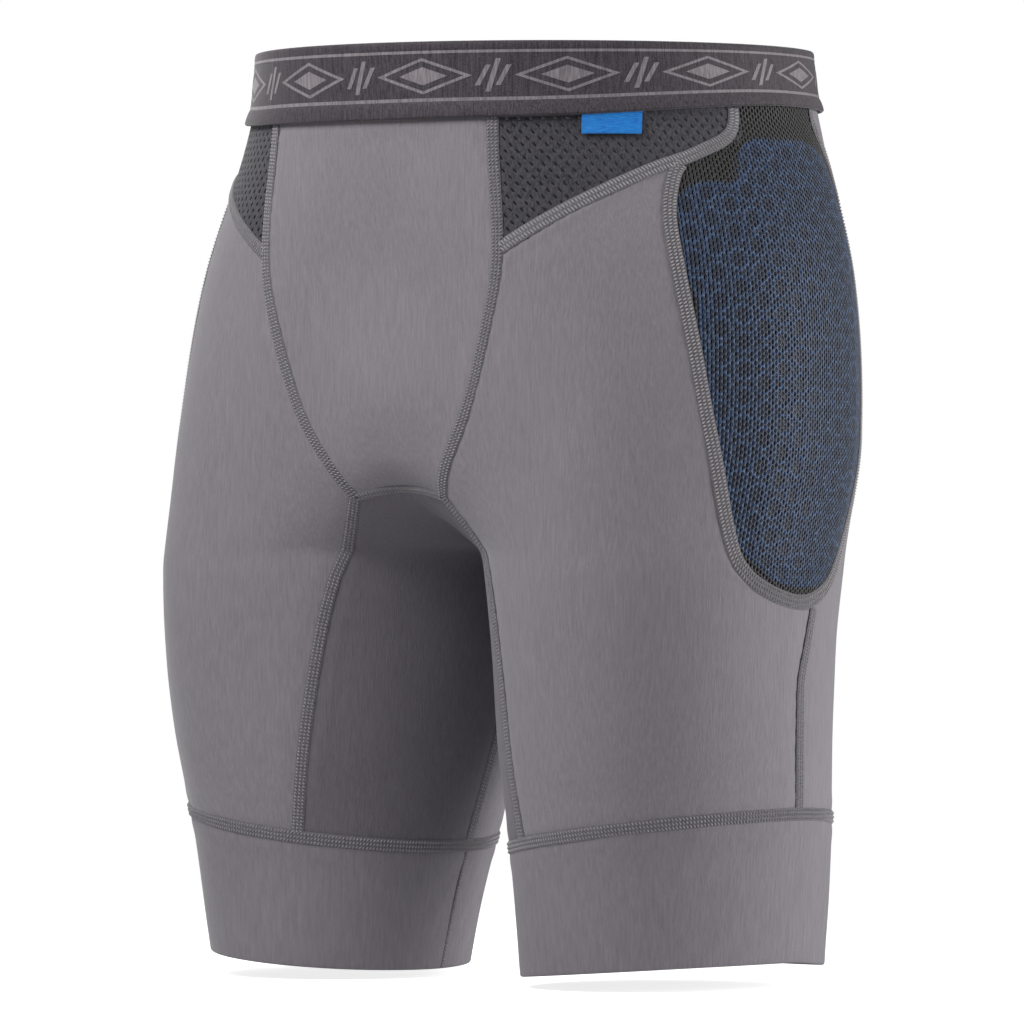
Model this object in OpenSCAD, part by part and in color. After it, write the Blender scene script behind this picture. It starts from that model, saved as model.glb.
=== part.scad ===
// Padded impact shorts: a close-fitting pair of stretch shorts with foam pads in
// mesh pockets over the hips and a foam pad over the tailbone.
// The origin is the centre of the waist opening, level with its top edge.
// +Z is up, -Y is the front and +X is the wearer's left.

/* [Waistband] */
// Height of the elastic waistband
band_h = 38; // [30:1:45]
// Thickness of the elastic
band_t = 2.2; // [1.4:0.1:3]
// Width of the blank tab that hangs from the waistband
tab_w = 32; // [20:1:36]
// How far the tab hangs below its root
tab_h = 7.5; // [6:0.5:12]

/* [Fabric] */
// Thickness of the main stretch fabric
fabric_t = 1.2; // [0.8:0.1:1.6]
// Thickness of the open mesh and of the linings
mesh_t = 0.8; // [0.6:0.1:1]
// Width of the flat stitched seams
seam_w = 6; // [4:0.5:8]
// Thickness of the thread band on a seam
seam_t = 0.8; // [0.6:0.1:1.2]

/* [Pads] */
// Thickness of the hip pads
hip_pad_t = 8; // [5:0.5:10]
// How far the hip pockets bulge
hip_crown = 3; // [1:0.5:4]
// Thickness of the tailbone pad
tail_pad_t = 8; // [5:0.5:10]
// Half width of the tailbone pocket
tail_half_w = 52; // [40:1:60]
// Height of the tailbone pocket
tail_h = 120; // [90:1:140]

/* [Legs] */
// Level of the cuff seam
cuff_level = -390; // [-410:1:-380]
// Level of the hem
hem_level = -458; // [-475:1:-445]
// Thickness of the doubled cuff
cuff_t = 2.4; // [1.6:0.1:3]

/* [Hidden] */

gap = 0.4;                          // clearance between neighbouring panels
layer_gap = 0.8;                    // clearance between nested layers
seam_lift = 0.6;                    // height of a thread band's underside over the panels
crotch = -250;                      // level where the two legs part
panel_top = -band_h - 0.6;          // level of the panels' top edges
pouch_mid = -220;                   // level of the pouch's bottom edge at the centre
pouch_corner = -224;                // level of the pouch's bottom corners
insert_tip = -103;                  // level of the mesh insert's lowest point
insert_end = -11;                   // angle where the mesh insert ends at the waistband
hip_low = -279;                     // level of the hip pocket's bottom edge
pad_top = -52;                      // level of the hip pad's top edge
pad_low = -268;                     // level of the hip pad's bottom edge
tail_top = -58;                     // level of the tailbone pocket's top edge
tab_angle = -41;                    // angle of the tab's middle around the waist
tab_root = -40.6;                   // level of the tab's top edge
step = 0.5;                         // finite difference for slopes

fabric_gray = [0.50, 0.48, 0.51];
cuff_gray = [0.45, 0.43, 0.46];
thread_gray = [0.62, 0.60, 0.63];
band_gray = [0.33, 0.30, 0.33];
mesh_gray = [0.24, 0.23, 0.25];
mesh_black = [0.10, 0.09, 0.09];
pad_blue = [0.02, 0.16, 0.42];
tab_blue = [0.02, 0.42, 0.76];

// Sections of the left half from the waist to the hem. An angle of 0 faces the side,
// -90 the front, 90 the back and 180 the other leg. Each row gives the level, the
// section's centre x, half width, centre y, front depth, back depth, the rearward
// skew of its outer side, and how much its outer side is raised.
SECTIONS = [
    [   0,   5, 138,   0, 131, 130,   6,  0],
    [ -38,  15, 135,   0, 126, 131,   4,  0],
    [-115,  46, 130,  -1, 116, 133,  -7,  0],
    [-195,  76, 111,  -7, 106, 125, -12,  0],
    [-250,  94,  94, -14,  98, 112, -16,  0],
    [-264,  97,  91, -16,  97, 109, -15,  2],
    [-300, 100,  87, -18,  94, 101, -13,  5],
    [-350, 104,  82, -20,  88,  91,  -5,  9],
    [-405, 107,  74, -19,  80,  82,   4, 11],
    [-460, 108,  68, -19,  74,  74,  10,  8],
    [-480, 108,  66, -19,  72,  72,  11,  7]
];

// Seams that run down the garment: rows of [level, angle].
POUCH_EDGE = [[-38, -66], [-96, -74], [-125, -80], [-167, -93], [-192, -104], [-224, -124]];
GUSSET_EDGE = [[-224, -124], [-250, -122], [-300, -118], [-390, -116], [-458, -116]];
INSEAM_EDGE = [[-250, -180], [-300, -187], [-390, -187], [-458, -186]];
HIP_FRONT = [[-38, -10], [-47, -13], [-56, -23], [-63, -29], [-95, -34], [-168, -32],
    [-212, -28], [-252, -21], [-266, -15], [-274, -6], [-279, 4]];
HIP_BACK = [[-38, 22], [-60, 33], [-85, 39], [-140, 41], [-200, 40], [-240, 34],
    [-262, 27], [-273, 20], [-279, 11]];
SIDE_EDGE = [[-279, 15], [-300, 12], [-325, 7], [-390, 3]];

function clamp01(a) = max(0, min(1, a));
function mix(a, b, t) = a + (b - a) * t;
function unit(v) = v / norm(v);

// Value of one column of a table of levels, on a smooth curve through its rows.
function row_above(t, z, i = 0) = (i >= len(t) - 2 || z >= t[i + 1][0]) ? i : row_above(t, z, i + 1);
function slope(t, i, c) =
    let (a = max(0, i - 1), b = min(len(t) - 1, i + 1))
    (t[b][c] - t[a][c]) / (t[b][0] - t[a][0]);
function curve(t, z, c = 1) =
    let (
        i = row_above(t, z),
        h = t[i + 1][0] - t[i][0],
        s = clamp01((z - t[i][0]) / h),
        a = s * s * (3 - 2 * s)
    )
    mix(t[i][c], t[i + 1][c], a)
        + h * s * (1 - s) * ((1 - s) * slope(t, i, c) - s * slope(t, i + 1, c));

// Angle at which the left half meets the centre plane, above the crotch.
function centre_angle(level) =
    180 - acos(min(1, curve(SECTIONS, level, 1) / curve(SECTIONS, level, 2)));

// How far the cloth follows the cleft between the lobes, from 0 (taut) to 1.
function cleft_front(level) = pow(clamp01((-205 - level) / (-205 - crotch)), 1.5);
function cleft_back(level) = pow(clamp01((-100 - level) / (-100 - crotch)), 2);

// Point of the garment's outer surface, for the left half.
function body_point(q) =
    let (
        level = q[1],
        c = cos(q[0]),
        front = sin(q[0]) < 0,
        cx = curve(SECTIONS, level, 1),
        ax = curve(SECTIONS, level, 2),
        b = front ? -curve(SECTIONS, level, 4) : curve(SECTIONS, level, 5),
        x = cx + ax * c,
        inner = c < 0 && level > crotch,
        t = x / max(1, cx),
        round = 2.5 / (1.001 - clamp01((-150 - level) / (-150 - crotch))),
        u = inner ? -(1 - t * (1 - pow(max(0, 1 - t), round))) * cx / ax : c,
        d = sqrt(max(0, 1 - u * u)),
        k = front ? cleft_front(level) : cleft_back(level),
        y = curve(SECTIONS, level, 3) + b * (inner ? 1 - k * (1 - d) : d)
            + curve(SECTIONS, level, 6) * u,
        bulge = front ? 10 * exp(-pow(x / 45, 2) - pow((level + 180) / 40, 2)) : 0
    )
    [x, y - bulge, level + curve(SECTIONS, level, 7) * c];

function body_normal(q) =
    unit(cross(body_point(q + [step, 0]) - body_point(q - [step, 0]),
               body_point(q + [0, step]) - body_point(q - [0, step])));

// Point at a height over the outer surface.
function on_body(q, lift) = body_point(q) + lift * body_normal(q);

// Seam that runs from the tip of the mesh insert up to the waistband.
function insert_edge(t) =
    [mix(curve(POUCH_EDGE, insert_tip), insert_end, t), insert_tip + 72 * t - 15 * t * t];
// Share of that seam where the hip pocket begins.
insert_split = 0.71;
hip_top = insert_edge(insert_split)[1];

// Patch between four edges: top and bottom run from front to back, the others down.
function patch(top, bottom, front, back, u, v) =
    (1 - v) * top(u) + v * bottom(u) + (1 - u) * front(v) + u * back(v)
        - (1 - u) * (1 - v) * top(0) - u * (1 - v) * top(1)
        - (1 - u) * v * bottom(0) - u * v * bottom(1);

// Front edge of the thigh panel: pouch seam, then gusset seam.
function thigh_front(v) =
    let (z = mix(insert_tip, cuff_level, v))
    [z > pouch_corner ? curve(POUCH_EDGE, z) : curve(GUSSET_EDGE, z), z];
// Back edge of the thigh panel: round the hip pocket, then down the side seam.
hip_share = 0.66;
hip_corner = 0.8;
function ease(t) = (1 - cos(180 * t)) / 2;
function side_angle(z) = curve(SIDE_EDGE, z) - 4 * clamp01((z - hip_low + 6) / 6);
function side_edge(t) = let (z = mix(hip_low, cuff_level, t)) [side_angle(z), z];
function hip_round(t) =
    t < hip_corner ? let (z = mix(hip_top, hip_low, ease(t / hip_corner))) [curve(HIP_FRONT, z), z]
    : [mix(curve(HIP_FRONT, hip_low), side_angle(hip_low), (t - hip_corner) / (1 - hip_corner)), hip_low];
function thigh_back(v) =
    v < hip_share ? hip_round(v / hip_share) : side_edge((v - hip_share) / (1 - hip_share));
function thigh(u, v) =
    patch(function(a) insert_edge(insert_split * a),
          function(a) [mix(curve(GUSSET_EDGE, cuff_level), curve(SIDE_EDGE, cuff_level), a), cuff_level],
          function(b) thigh_front(b), function(b) thigh_back(b), u, v);

// Back panel: front edge round the hip pocket and down the side seam, rear edge down
// the centre line and then down the inseam.
function back_front(v) =
    v < hip_share
    ? let (z = mix(panel_top, hip_low, sin(90 * v / hip_share))) [curve(HIP_BACK, z), z]
    : side_edge((v - hip_share) / (1 - hip_share));
function back_rear(v) =
    v < hip_share
    ? let (z = mix(panel_top, crotch, sin(90 * v / hip_share))) [centre_angle(z), z]
    : let (z = mix(crotch, cuff_level, (v - hip_share) / (1 - hip_share)))
        [curve(INSEAM_EDGE, z) + 360, z];
function back(u, v) =
    patch(function(a) [mix(curve(HIP_BACK, panel_top), centre_angle(panel_top), a), panel_top],
          function(a) [mix(curve(SIDE_EDGE, cuff_level), curve(INSEAM_EDGE, cuff_level) + 360, a),
                       cuff_level],
          function(b) back_front(b), function(b) back_rear(b), u, v);

// Gusset: under the pouch, along the centre line to the crotch, and down both seams.
pouch_share = 0.35;
function gusset_top(u) =
    u < pouch_share
    ? let (t = u / pouch_share, z = mix(pouch_corner, pouch_mid, t))
        [mix(curve(POUCH_EDGE, pouch_corner), -centre_angle(pouch_mid), t), z]
    : let (z = mix(pouch_mid, crotch, sin(90 * (u - pouch_share) / (1 - pouch_share))))
        [-centre_angle(z), z];
function gusset(u, v) =
    patch(function(a) gusset_top(a),
          function(a) [mix(curve(GUSSET_EDGE, cuff_level), curve(INSEAM_EDGE, cuff_level), a), cuff_level],
          function(b) let (z = mix(pouch_corner, cuff_level, b)) [curve(GUSSET_EDGE, z), z],
          function(b) let (z = mix(crotch, cuff_level, b)) [curve(INSEAM_EDGE, z), z], u, v);

// Mesh insert: its lower edge is drawn up a little where it lies beside the hip pocket.
function insert_low(a) = insert_edge(0.99 * a) + [0, 1.8 * clamp01((a - 0.6) / 0.1)];
function insert(u, v) =
    patch(function(a) [mix(curve(POUCH_EDGE, panel_top), insert_end, a), panel_top],
          function(a) insert_low(a),
          function(b) let (z = mix(panel_top, insert_tip, b)) [curve(POUCH_EDGE, z), z],
          function(b) [insert_end, mix(panel_top, insert_low(1)[1], b)], u, v);

// Hip pocket area, drawn in from its seams by a margin in degrees, and further beside
// the mesh insert.
function hip(u, v, z0, z1, margin) =
    let (z = mix(z0, z1, ease(v)), more = 1.2 * clamp01((z - hip_top + 8) / 8))
    [mix(curve(HIP_FRONT, z) + margin + more, curve(HIP_BACK, z) - margin, u), z];
function crown(u, v) = hip_crown * pow(1 - pow(2 * u - 1, 4), 2) * (1 - pow(cos(180 * v), 4));

// Tailbone pocket: a rounded shield across the centre line, u from -1 to 1.
function tail_width(v) = tail_half_w * pow(max(0, 1 - pow(abs(1.7 * v - 0.7), 3.5)), 0.4);
function tail(u, v, margin) =
    let (z = mix(tail_top - margin, tail_top - tail_h + margin, v),
         w = max(2, tail_width(v) - margin),
         x = abs(u) * w)
    [acos(max(-1, (x - curve(SECTIONS, z, 1)) / curve(SECTIONS, z, 2))), z];

function flip(p, side) = [side * p[0], p[1], p[2]];

// Closed skin over a grid of nu by nv cells. place(u, v, lift) gives a point, and
// loop joins the last column to the first.
module skin(place, nu, nv, top, thick, loop = false) {
    cols = loop ? nu : nu + 1;
    count = cols * (nv + 1);
    points = [for (lift = [top, top - thick]) for (j = [0:nv]) for (i = [0:cols - 1])
        place(i / nu, j / nv, lift)];
    function at(i, j, side) = side * count + j * cols + (i % cols);
    sheets = [for (j = [0:nv - 1]) for (i = [0:nu - 1]) each [
        [at(i, j, 0), at(i + 1, j, 0), at(i, j + 1, 0)],
        [at(i + 1, j, 0), at(i + 1, j + 1, 0), at(i, j + 1, 0)],
        [at(i, j, 1), at(i, j + 1, 1), at(i + 1, j, 1)],
        [at(i + 1, j, 1), at(i, j + 1, 1), at(i + 1, j + 1, 1)]]];
    rims = [for (i = [0:nu - 1]) each [
        [at(i, 0, 0), at(i, 0, 1), at(i + 1, 0, 0)],
        [at(i + 1, 0, 0), at(i, 0, 1), at(i + 1, 0, 1)],
        [at(i, nv, 0), at(i + 1, nv, 0), at(i, nv, 1)],
        [at(i + 1, nv, 0), at(i + 1, nv, 1), at(i, nv, 1)]]];
    sides = loop ? [] : [for (j = [0:nv - 1]) each [
        [at(0, j, 0), at(0, j + 1, 0), at(0, j, 1)],
        [at(0, j + 1, 0), at(0, j + 1, 1), at(0, j, 1)],
        [at(nu, j, 0), at(nu, j, 1), at(nu, j + 1, 0)],
        [at(nu, j + 1, 0), at(nu, j, 1), at(nu, j + 1, 1)]]];
    polyhedron(points, concat(sheets, rims, sides));
}

// Panel on the left half whose edges stay clear of their neighbours.
module panel(area, nu, nv, width, height, top = 0, thick = fabric_t) {
    eu = gap / width;
    ev = gap / height;
    skin(function(u, v, lift) on_body(area(mix(eu, 1 - eu, u), mix(ev, 1 - ev, v)), lift),
         nu, nv, top, thick);
}

// Flat band of thread along a line on the body, from share s0 to share s1.
module seam(line, n, s0, s1, base = seam_lift, width = seam_w) {
    ds = (s1 - s0) / n / 4;
    points = [for (i = [0:n]) let (
        s = mix(s0, s1, i / n),
        p = body_point(line(s)),
        normal = body_normal(line(s)),
        along = unit(body_point(line(min(1, s + ds))) - body_point(line(max(0, s - ds)))),
        across = unit(cross(along, normal)) * width / 2
    ) each [p - across + normal * base, p + across + normal * base,
            p + across + normal * (base + seam_t), p - across + normal * (base + seam_t)]];
    walls = [for (i = [0:n - 1]) for (k = [0:3]) let (a = 4 * i + k, b = 4 * i + (k + 1) % 4)
        each [[a, b, a + 4], [b, b + 4, a + 4]]];
    last = 4 * n;
    caps = [[0, 2, 1], [0, 3, 2], [last, last + 1, last + 2], [last, last + 2, last + 3]];
    polyhedron(points, concat(walls, caps));
}

// Point round the whole waist, starting at the centre front.
function round_waist(u, level, lift) =
    let (
        side = u < 0.5 ? 1 : -1,
        t = u < 0.5 ? 2 * u : 2 - 2 * u,
        a = centre_angle(level)
    )
    flip(on_body([mix(-a, a, t), level], lift), side);

module waistband() {
    color(band_gray)
        skin(function(u, v, lift) round_waist(u, -band_h * v, lift), 56, 4, band_t - 0.4, band_t, true);
}

module label_tab() {
    half = tab_w / 2 / 142 * 180 / PI;
    color(tab_blue)
        skin(function(u, v, lift)
                on_body([tab_angle + half * (2 * u - 1), tab_root - tab_h * v], lift),
             6, 2, 2, 1);
}

module front_pouch() {
    color(fabric_gray)
        skin(function(u, v, lift) let (
                t = abs(2 * u - 1),
                z = mix(panel_top, mix(pouch_mid, pouch_corner, t * t) + gap, v),
                q = [mix(-centre_angle(z), curve(POUCH_EDGE, z) - 0.3, t), z]
             ) flip(on_body(q, lift), u < 0.5 ? -1 : 1),
             12, 14, 0, fabric_t);
}

module mesh_insert() { color(mesh_gray) panel(function(u, v) insert(u, v), 9, 5, 120, 60); }
module thigh_panel() { color(fabric_gray) panel(function(u, v) thigh(u, v), 12, 22, 130, 290); }
module back_panel() { color(fabric_gray) panel(function(u, v) back(u, v), 14, 24, 180, 340); }
module gusset_panel() { color(cuff_gray) panel(function(u, v) gusset(u, v), 8, 14, 100, 150); }

module hip_layer(top, thick, z0, z1, margin) {
    skin(function(u, v, lift) on_body(hip(u, v, z0, z1, margin), lift + crown(u, v)), 8, 16, top, thick);
}
module hip_mesh() { color(mesh_black) hip_layer(0, mesh_t, panel_top, hip_low + gap, 0.3); }
module hip_pad() {
    color(pad_blue) hip_layer(-mesh_t - layer_gap, hip_pad_t, pad_top, pad_low, 4);
}
module hip_lining() {
    color(mesh_black)
        hip_layer(-mesh_t - 2 * layer_gap - hip_pad_t - hip_crown, mesh_t, pad_top, pad_low, 4);
}

module tail_layer(top, thick, margin) {
    skin(function(u, v, lift) flip(on_body(tail(2 * u - 1, v, margin), lift), u < 0.5 ? -1 : 1),
         8, 12, top, thick);
}
module tail_pad() { color(pad_blue) tail_layer(-fabric_t - layer_gap, tail_pad_t, 7); }
module tail_lining() {
    color(mesh_black) tail_layer(-fabric_t - 2 * layer_gap - tail_pad_t, mesh_t, 3);
}

module cuff() {
    color(cuff_gray)
        skin(function(u, v, lift)
                on_body([360 * u - 180, mix(cuff_level - 2 * gap, hem_level, v)], lift),
             32, 4, 0.2, cuff_t, true);
}

module pouch_seam() {
    color(thread_gray)
        seam(function(s) let (z = mix(panel_top, pouch_corner, s)) [curve(POUCH_EDGE, z), z], 18, 0.02, 0.985);
}
module pouch_seam_bottom() {
    color(thread_gray)
        skin(function(u, v, lift) let (
                t = abs(2 * u - 1),
                z = mix(pouch_mid, pouch_corner, t * t) + 1.5 - 3 * v,
                q = [mix(-centre_angle(z), curve(POUCH_EDGE, z) - 12, t), z]
             ) flip(on_body(q, lift), u < 0.5 ? -1 : 1),
             8, 2, seam_lift + seam_t, seam_t);
}
module insert_seam() { color(thread_gray) seam(function(s) insert_edge(s), 12, 0.06, 0.95); }
module hip_seam() {
    color(thread_gray) {
        seam(function(s) let (z = mix(hip_top, hip_low, s)) [curve(HIP_FRONT, z), z], 24, 0.05, 0.985);
        seam(function(s) let (z = mix(panel_top, hip_low, s)) [curve(HIP_BACK, z), z], 24, 0.02, 0.985);
    }
}
module side_seam() {
    color(thread_gray)
        seam(function(s) let (z = mix(hip_low, cuff_level, s)) [curve(SIDE_EDGE, z), z], 9, 0.09, 0.95);
}
module gusset_seam() {
    color(thread_gray)
        seam(function(s) let (z = mix(pouch_corner, cuff_level, s)) [curve(GUSSET_EDGE, z), z],
             12, 0.04, 0.97);
}
module inseam() {
    color(thread_gray)
        seam(function(s) let (z = mix(crotch, cuff_level, s)) [curve(INSEAM_EDGE, z), z], 10, 0.1, 0.96);
}
module cuff_seam() {
    color(thread_gray)
        skin(function(u, v, lift) on_body([360 * u - 180, cuff_level + seam_w * (0.5 - v)], lift),
             32, 1, seam_lift + seam_t, seam_t, true);
}
module cuff_join() {
    color(thread_gray)
        seam(function(s) let (z = mix(cuff_level, hem_level, s)) [curve(INSEAM_EDGE, z), z],
             5, 0.08, 0.98, seam_lift, seam_w / 2);
}
module seat_seam() {
    color(thread_gray)
        skin(function(u, v, lift) let (
                z = mix(tail_top - tail_h - seam_w, crotch + 8, v),
                x = abs(2 * u - 1) * seam_w / 2,
                q = [acos((x - curve(SECTIONS, z, 1)) / curve(SECTIONS, z, 2)), z]
             ) flip(on_body(q, lift), u < 0.5 ? -1 : 1),
             2, 8, 2 * seam_lift + seam_t, seam_t);
}
module tail_seam() {
    color(thread_gray) {
        for (side = [0, 1]) mirror([side, 0, 0])
            seam(function(s) let (v = 0.5 - 0.5 * cos(180 * s)) tail(1, v, 0),
                 22, 0.12, 0.97, seam_lift, seam_w * 0.6);
        skin(function(u, v, lift) flip(on_body(tail(1.9 * u - 0.95, 0.012 - 0.024 * v, 0), lift),
                                       u < 0.5 ? -1 : 1),
             8, 1, seam_lift + seam_t, seam_t);
    }
}

waistband();
label_tab();
front_pouch();
mesh_insert();  // mesh_insert_left
mirror([1, 0, 0]) mesh_insert();  // mesh_insert_right
thigh_panel();  // thigh_panel_left
mirror([1, 0, 0]) thigh_panel();  // thigh_panel_right
back_panel();  // back_panel_left
mirror([1, 0, 0]) back_panel();  // back_panel_right
gusset_panel();  // gusset_left
mirror([1, 0, 0]) gusset_panel();  // gusset_right
hip_mesh();  // hip_mesh_left
mirror([1, 0, 0]) hip_mesh();  // hip_mesh_right
hip_pad();  // hip_pad_left
mirror([1, 0, 0]) hip_pad();  // hip_pad_right
hip_lining();  // hip_lining_left
mirror([1, 0, 0]) hip_lining();  // hip_lining_right
tail_pad();
tail_lining();
cuff();  // cuff_left
mirror([1, 0, 0]) cuff();  // cuff_right
pouch_seam();  // pouch_seam_left
mirror([1, 0, 0]) pouch_seam();  // pouch_seam_right
pouch_seam_bottom();
insert_seam();  // insert_seam_left
mirror([1, 0, 0]) insert_seam();  // insert_seam_right
hip_seam();  // hip_seam_left
mirror([1, 0, 0]) hip_seam();  // hip_seam_right
side_seam();  // side_seam_left
mirror([1, 0, 0]) side_seam();  // side_seam_right
gusset_seam();  // gusset_seam_left
mirror([1, 0, 0]) gusset_seam();  // gusset_seam_right
inseam();  // inseam_left
mirror([1, 0, 0]) inseam();  // inseam_right
cuff_seam();  // cuff_seam_left
mirror([1, 0, 0]) cuff_seam();  // cuff_seam_right
cuff_join();  // cuff_join_left
mirror([1, 0, 0]) cuff_join();  // cuff_join_right
seat_seam();
tail_seam();
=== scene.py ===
"""Looks of the padded impact shorts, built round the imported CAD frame.

Shapes are worked out in millimetres in the CAD's own frame and scaled to metres when a mesh is made.
+Z is up, -Y is the front and +X is the wearer's left. Formulas give the left half, and the right
half is its mirror image.
"""

import math

import bpy
import numpy as np
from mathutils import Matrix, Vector


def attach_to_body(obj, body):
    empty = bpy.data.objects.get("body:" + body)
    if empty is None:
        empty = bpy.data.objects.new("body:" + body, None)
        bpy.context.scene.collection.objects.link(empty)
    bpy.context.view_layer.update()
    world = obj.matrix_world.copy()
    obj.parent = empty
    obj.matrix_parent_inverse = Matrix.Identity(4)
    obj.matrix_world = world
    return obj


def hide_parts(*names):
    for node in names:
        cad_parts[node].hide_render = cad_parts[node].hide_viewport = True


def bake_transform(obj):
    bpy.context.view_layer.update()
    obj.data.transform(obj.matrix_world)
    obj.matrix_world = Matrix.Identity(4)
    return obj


MM = 0.001

# Driving sizes as in the CAD: millimetres, angles in degrees, and shares of an edge.
BAND_H = 38
TAB_W = 32
TAB_H = 7.5
CUFF_LEVEL = -390
HEM_LEVEL = -458
CUFF_T = 2.4
FABRIC_T = 1.2
MESH_T = 0.8
HIP_PAD_T = 8
HIP_CROWN = 3
TAIL_PAD_T = 8
TAIL_HALF_W = 52
TAIL_H = 120
LAYER_GAP = 0.8
PANEL_GAP = 0.4
CROTCH = -250
PANEL_TOP = -BAND_H - 0.6
POUCH_MID = -220
POUCH_CORNER = -224
INSERT_TIP = -103
INSERT_END = -11
INSERT_SPLIT = 0.71
HIP_LOW = -279
HIP_SHARE = 0.66
HIP_CORNER = 0.8
POUCH_SHARE = 0.35
TAIL_TOP = -58
TAB_ANGLE = -41
TAB_ROOT = -40.6

# Sizes that only the looks have: seams a little fuller than the CAD's, how far the panels reach up
# behind the waistband, how far a cuff sags at its outer rear side, and the level of the floor.
SEAM_W = 6.4
UNDER_BAND = 3.5
HEM_SAG = 4.5
FLOOR_LEVEL = -466.6

# Sections of the left half: level, centre x, half width, centre y, front depth, back depth, rearward
# skew of the outer side, and how much the outer side is raised, which is less than in the CAD at the cuffs.
SECTIONS = [
    [0, 5, 138, 0, 131, 130, 6, 0],
    [-38, 15, 135, 0, 126, 131, 4, 0],
    [-115, 46, 130, -1, 116, 133, -7, 0],
    [-195, 76, 111, -7, 106, 125, -12, 0],
    [-250, 94, 94, -14, 98, 112, -16, 0],
    [-264, 97, 91, -16, 97, 109, -15, 2],
    [-300, 100, 87, -18, 94, 101, -13, 5],
    [-350, 104, 82, -20, 88, 91, -5, 9],
    [-405, 107, 74, -19, 80, 82, 4, 10],
    [-460, 108, 68, -19, 74, 74, 10, 4.5],
    [-480, 108, 66, -19, 72, 72, 11, 3.5],
]

# Levels from which the inner side tucks in and the front and back clefts between the legs deepen, and
# the height, width, level and length of the pouch's bulge.
TUCK_TOP = -150
FRONT_CLEFT_TOP = -205
BACK_CLEFT_TOP = -100
BULGE = (10, 45, -180, 40)

# Seams that run down the garment: rows of level and angle. An angle of 0 faces the side, -90 the
# front, 90 the back and 180 the other leg.
POUCH_EDGE = [[-38, -66], [-96, -74], [-125, -80], [-167, -93], [-192, -104], [-224, -124]]
GUSSET_EDGE = [[-224, -124], [-250, -122], [-300, -118], [-390, -116], [-458, -116]]
INSEAM_EDGE = [[-250, -180], [-300, -187], [-390, -187], [-458, -186]]
HIP_FRONT = [
    [-38, -10], [-47, -13], [-56, -23], [-63, -29], [-95, -34], [-168, -32],
    [-212, -28], [-252, -21], [-266, -15], [-274, -6], [-279, 4],
]
HIP_BACK = [
    [-38, 22], [-60, 33], [-85, 39], [-140, 41], [-200, 40], [-240, 34],
    [-262, 27], [-273, 20], [-279, 11],
]
SIDE_EDGE = [[-279, 15], [-300, 12], [-325, 7], [-390, 3]]

SIDES = {"left": 1, "right": -1}


# ---- the body's surface


def clamp01(a):
    return np.clip(a, 0.0, 1.0)


def mix(a, b, t):
    return a + (b - a) * t


def ease(t):
    return (1 - np.cos(np.pi * t)) / 2


def smooth(t):
    return t * t * (3 - 2 * t)


def to_edge(t):
    return np.minimum(t, 1 - t)


def unit(v):
    return v / np.maximum(np.linalg.norm(v, axis=-1, keepdims=True), 1e-9)


def curve(table, level, column=1):
    """Value of one column of a table of levels, on a smooth curve through its rows."""
    rows = np.asarray(table, float)
    level = np.asarray(level, float)
    values, heights = rows[:, column], rows[:, 0]
    index = np.searchsorted(-heights[1:-1], -level, side="left")
    before = np.maximum(np.arange(len(rows)) - 1, 0)
    after = np.minimum(np.arange(len(rows)) + 1, len(rows) - 1)
    slopes = (values[after] - values[before]) / (heights[after] - heights[before])
    height = heights[index + 1] - heights[index]
    s = clamp01((level - heights[index]) / height)
    bend = height * s * (1 - s) * ((1 - s) * slopes[index] - s * slopes[index + 1])
    return mix(values[index], values[index + 1], smooth(s)) + bend


def centre_angle(level):
    """Angle at which the left half meets the centre plane."""
    ratio = curve(SECTIONS, level, 1) / curve(SECTIONS, level, 2)
    return 180 - np.degrees(np.arccos(np.minimum(1, ratio)))


def body_point(phi, level):
    """Point of the garment's outer surface, for the left half."""
    phi, level = np.broadcast_arrays(np.asarray(phi, float), np.asarray(level, float))
    c, s = np.cos(np.radians(phi)), np.sin(np.radians(phi))
    front = s < 0
    cx = curve(SECTIONS, level, 1)
    ax = curve(SECTIONS, level, 2)
    depth = np.where(front, -curve(SECTIONS, level, 4), curve(SECTIONS, level, 5))
    x = cx + ax * c
    inner = (c < 0) & (level > CROTCH)
    t = x / np.maximum(1, cx)
    power = 2.5 / (1.001 - clamp01((TUCK_TOP - level) / (TUCK_TOP - CROTCH)))
    tucked = -(1 - t * (1 - np.maximum(0, 1 - t) ** power)) * cx / ax
    u = np.where(inner, tucked, c)
    d = np.sqrt(np.maximum(0, 1 - u * u))
    cleft_front = clamp01((FRONT_CLEFT_TOP - level) / (FRONT_CLEFT_TOP - CROTCH)) ** 1.5
    cleft_back = clamp01((BACK_CLEFT_TOP - level) / (BACK_CLEFT_TOP - CROTCH)) ** 2
    k = np.where(front, cleft_front, cleft_back)
    y = curve(SECTIONS, level, 3) + depth * np.where(inner, 1 - k * (1 - d), d)
    y = y + curve(SECTIONS, level, 6) * u
    height, width, middle, length = BULGE
    bulge = np.where(front, height * np.exp(-((x / width) ** 2) - ((level - middle) / length) ** 2), 0)
    raised = curve(SECTIONS, level, 7) * c
    sag = HEM_SAG * smooth(clamp01((-340 - level) / 120)) * np.where(front, 0, np.maximum(0, c) * s)
    return np.stack([x, y - bulge, level + raised - sag], -1)


def body_normal(phi, level, step=0.5):
    round_it = body_point(phi + step, level) - body_point(phi - step, level)
    down_it = body_point(phi, level + step) - body_point(phi, level - step)
    return unit(np.cross(round_it, down_it))


def on_body(phi, level, lift=0.0):
    """Point at a height over the outer surface."""
    return body_point(phi, level) + np.asarray(lift, float)[..., None] * body_normal(phi, level)


def both(a, b):
    """Two arrays, mostly angles and levels, as one array of pairs."""
    return np.stack(np.broadcast_arrays(np.asarray(a, float), np.asarray(b, float)), -1)


def at_levels(table, level, turn=0):
    """Places along a table of angles at some levels, turned by an angle."""
    return both(curve(table, level) + turn, level)


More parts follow.
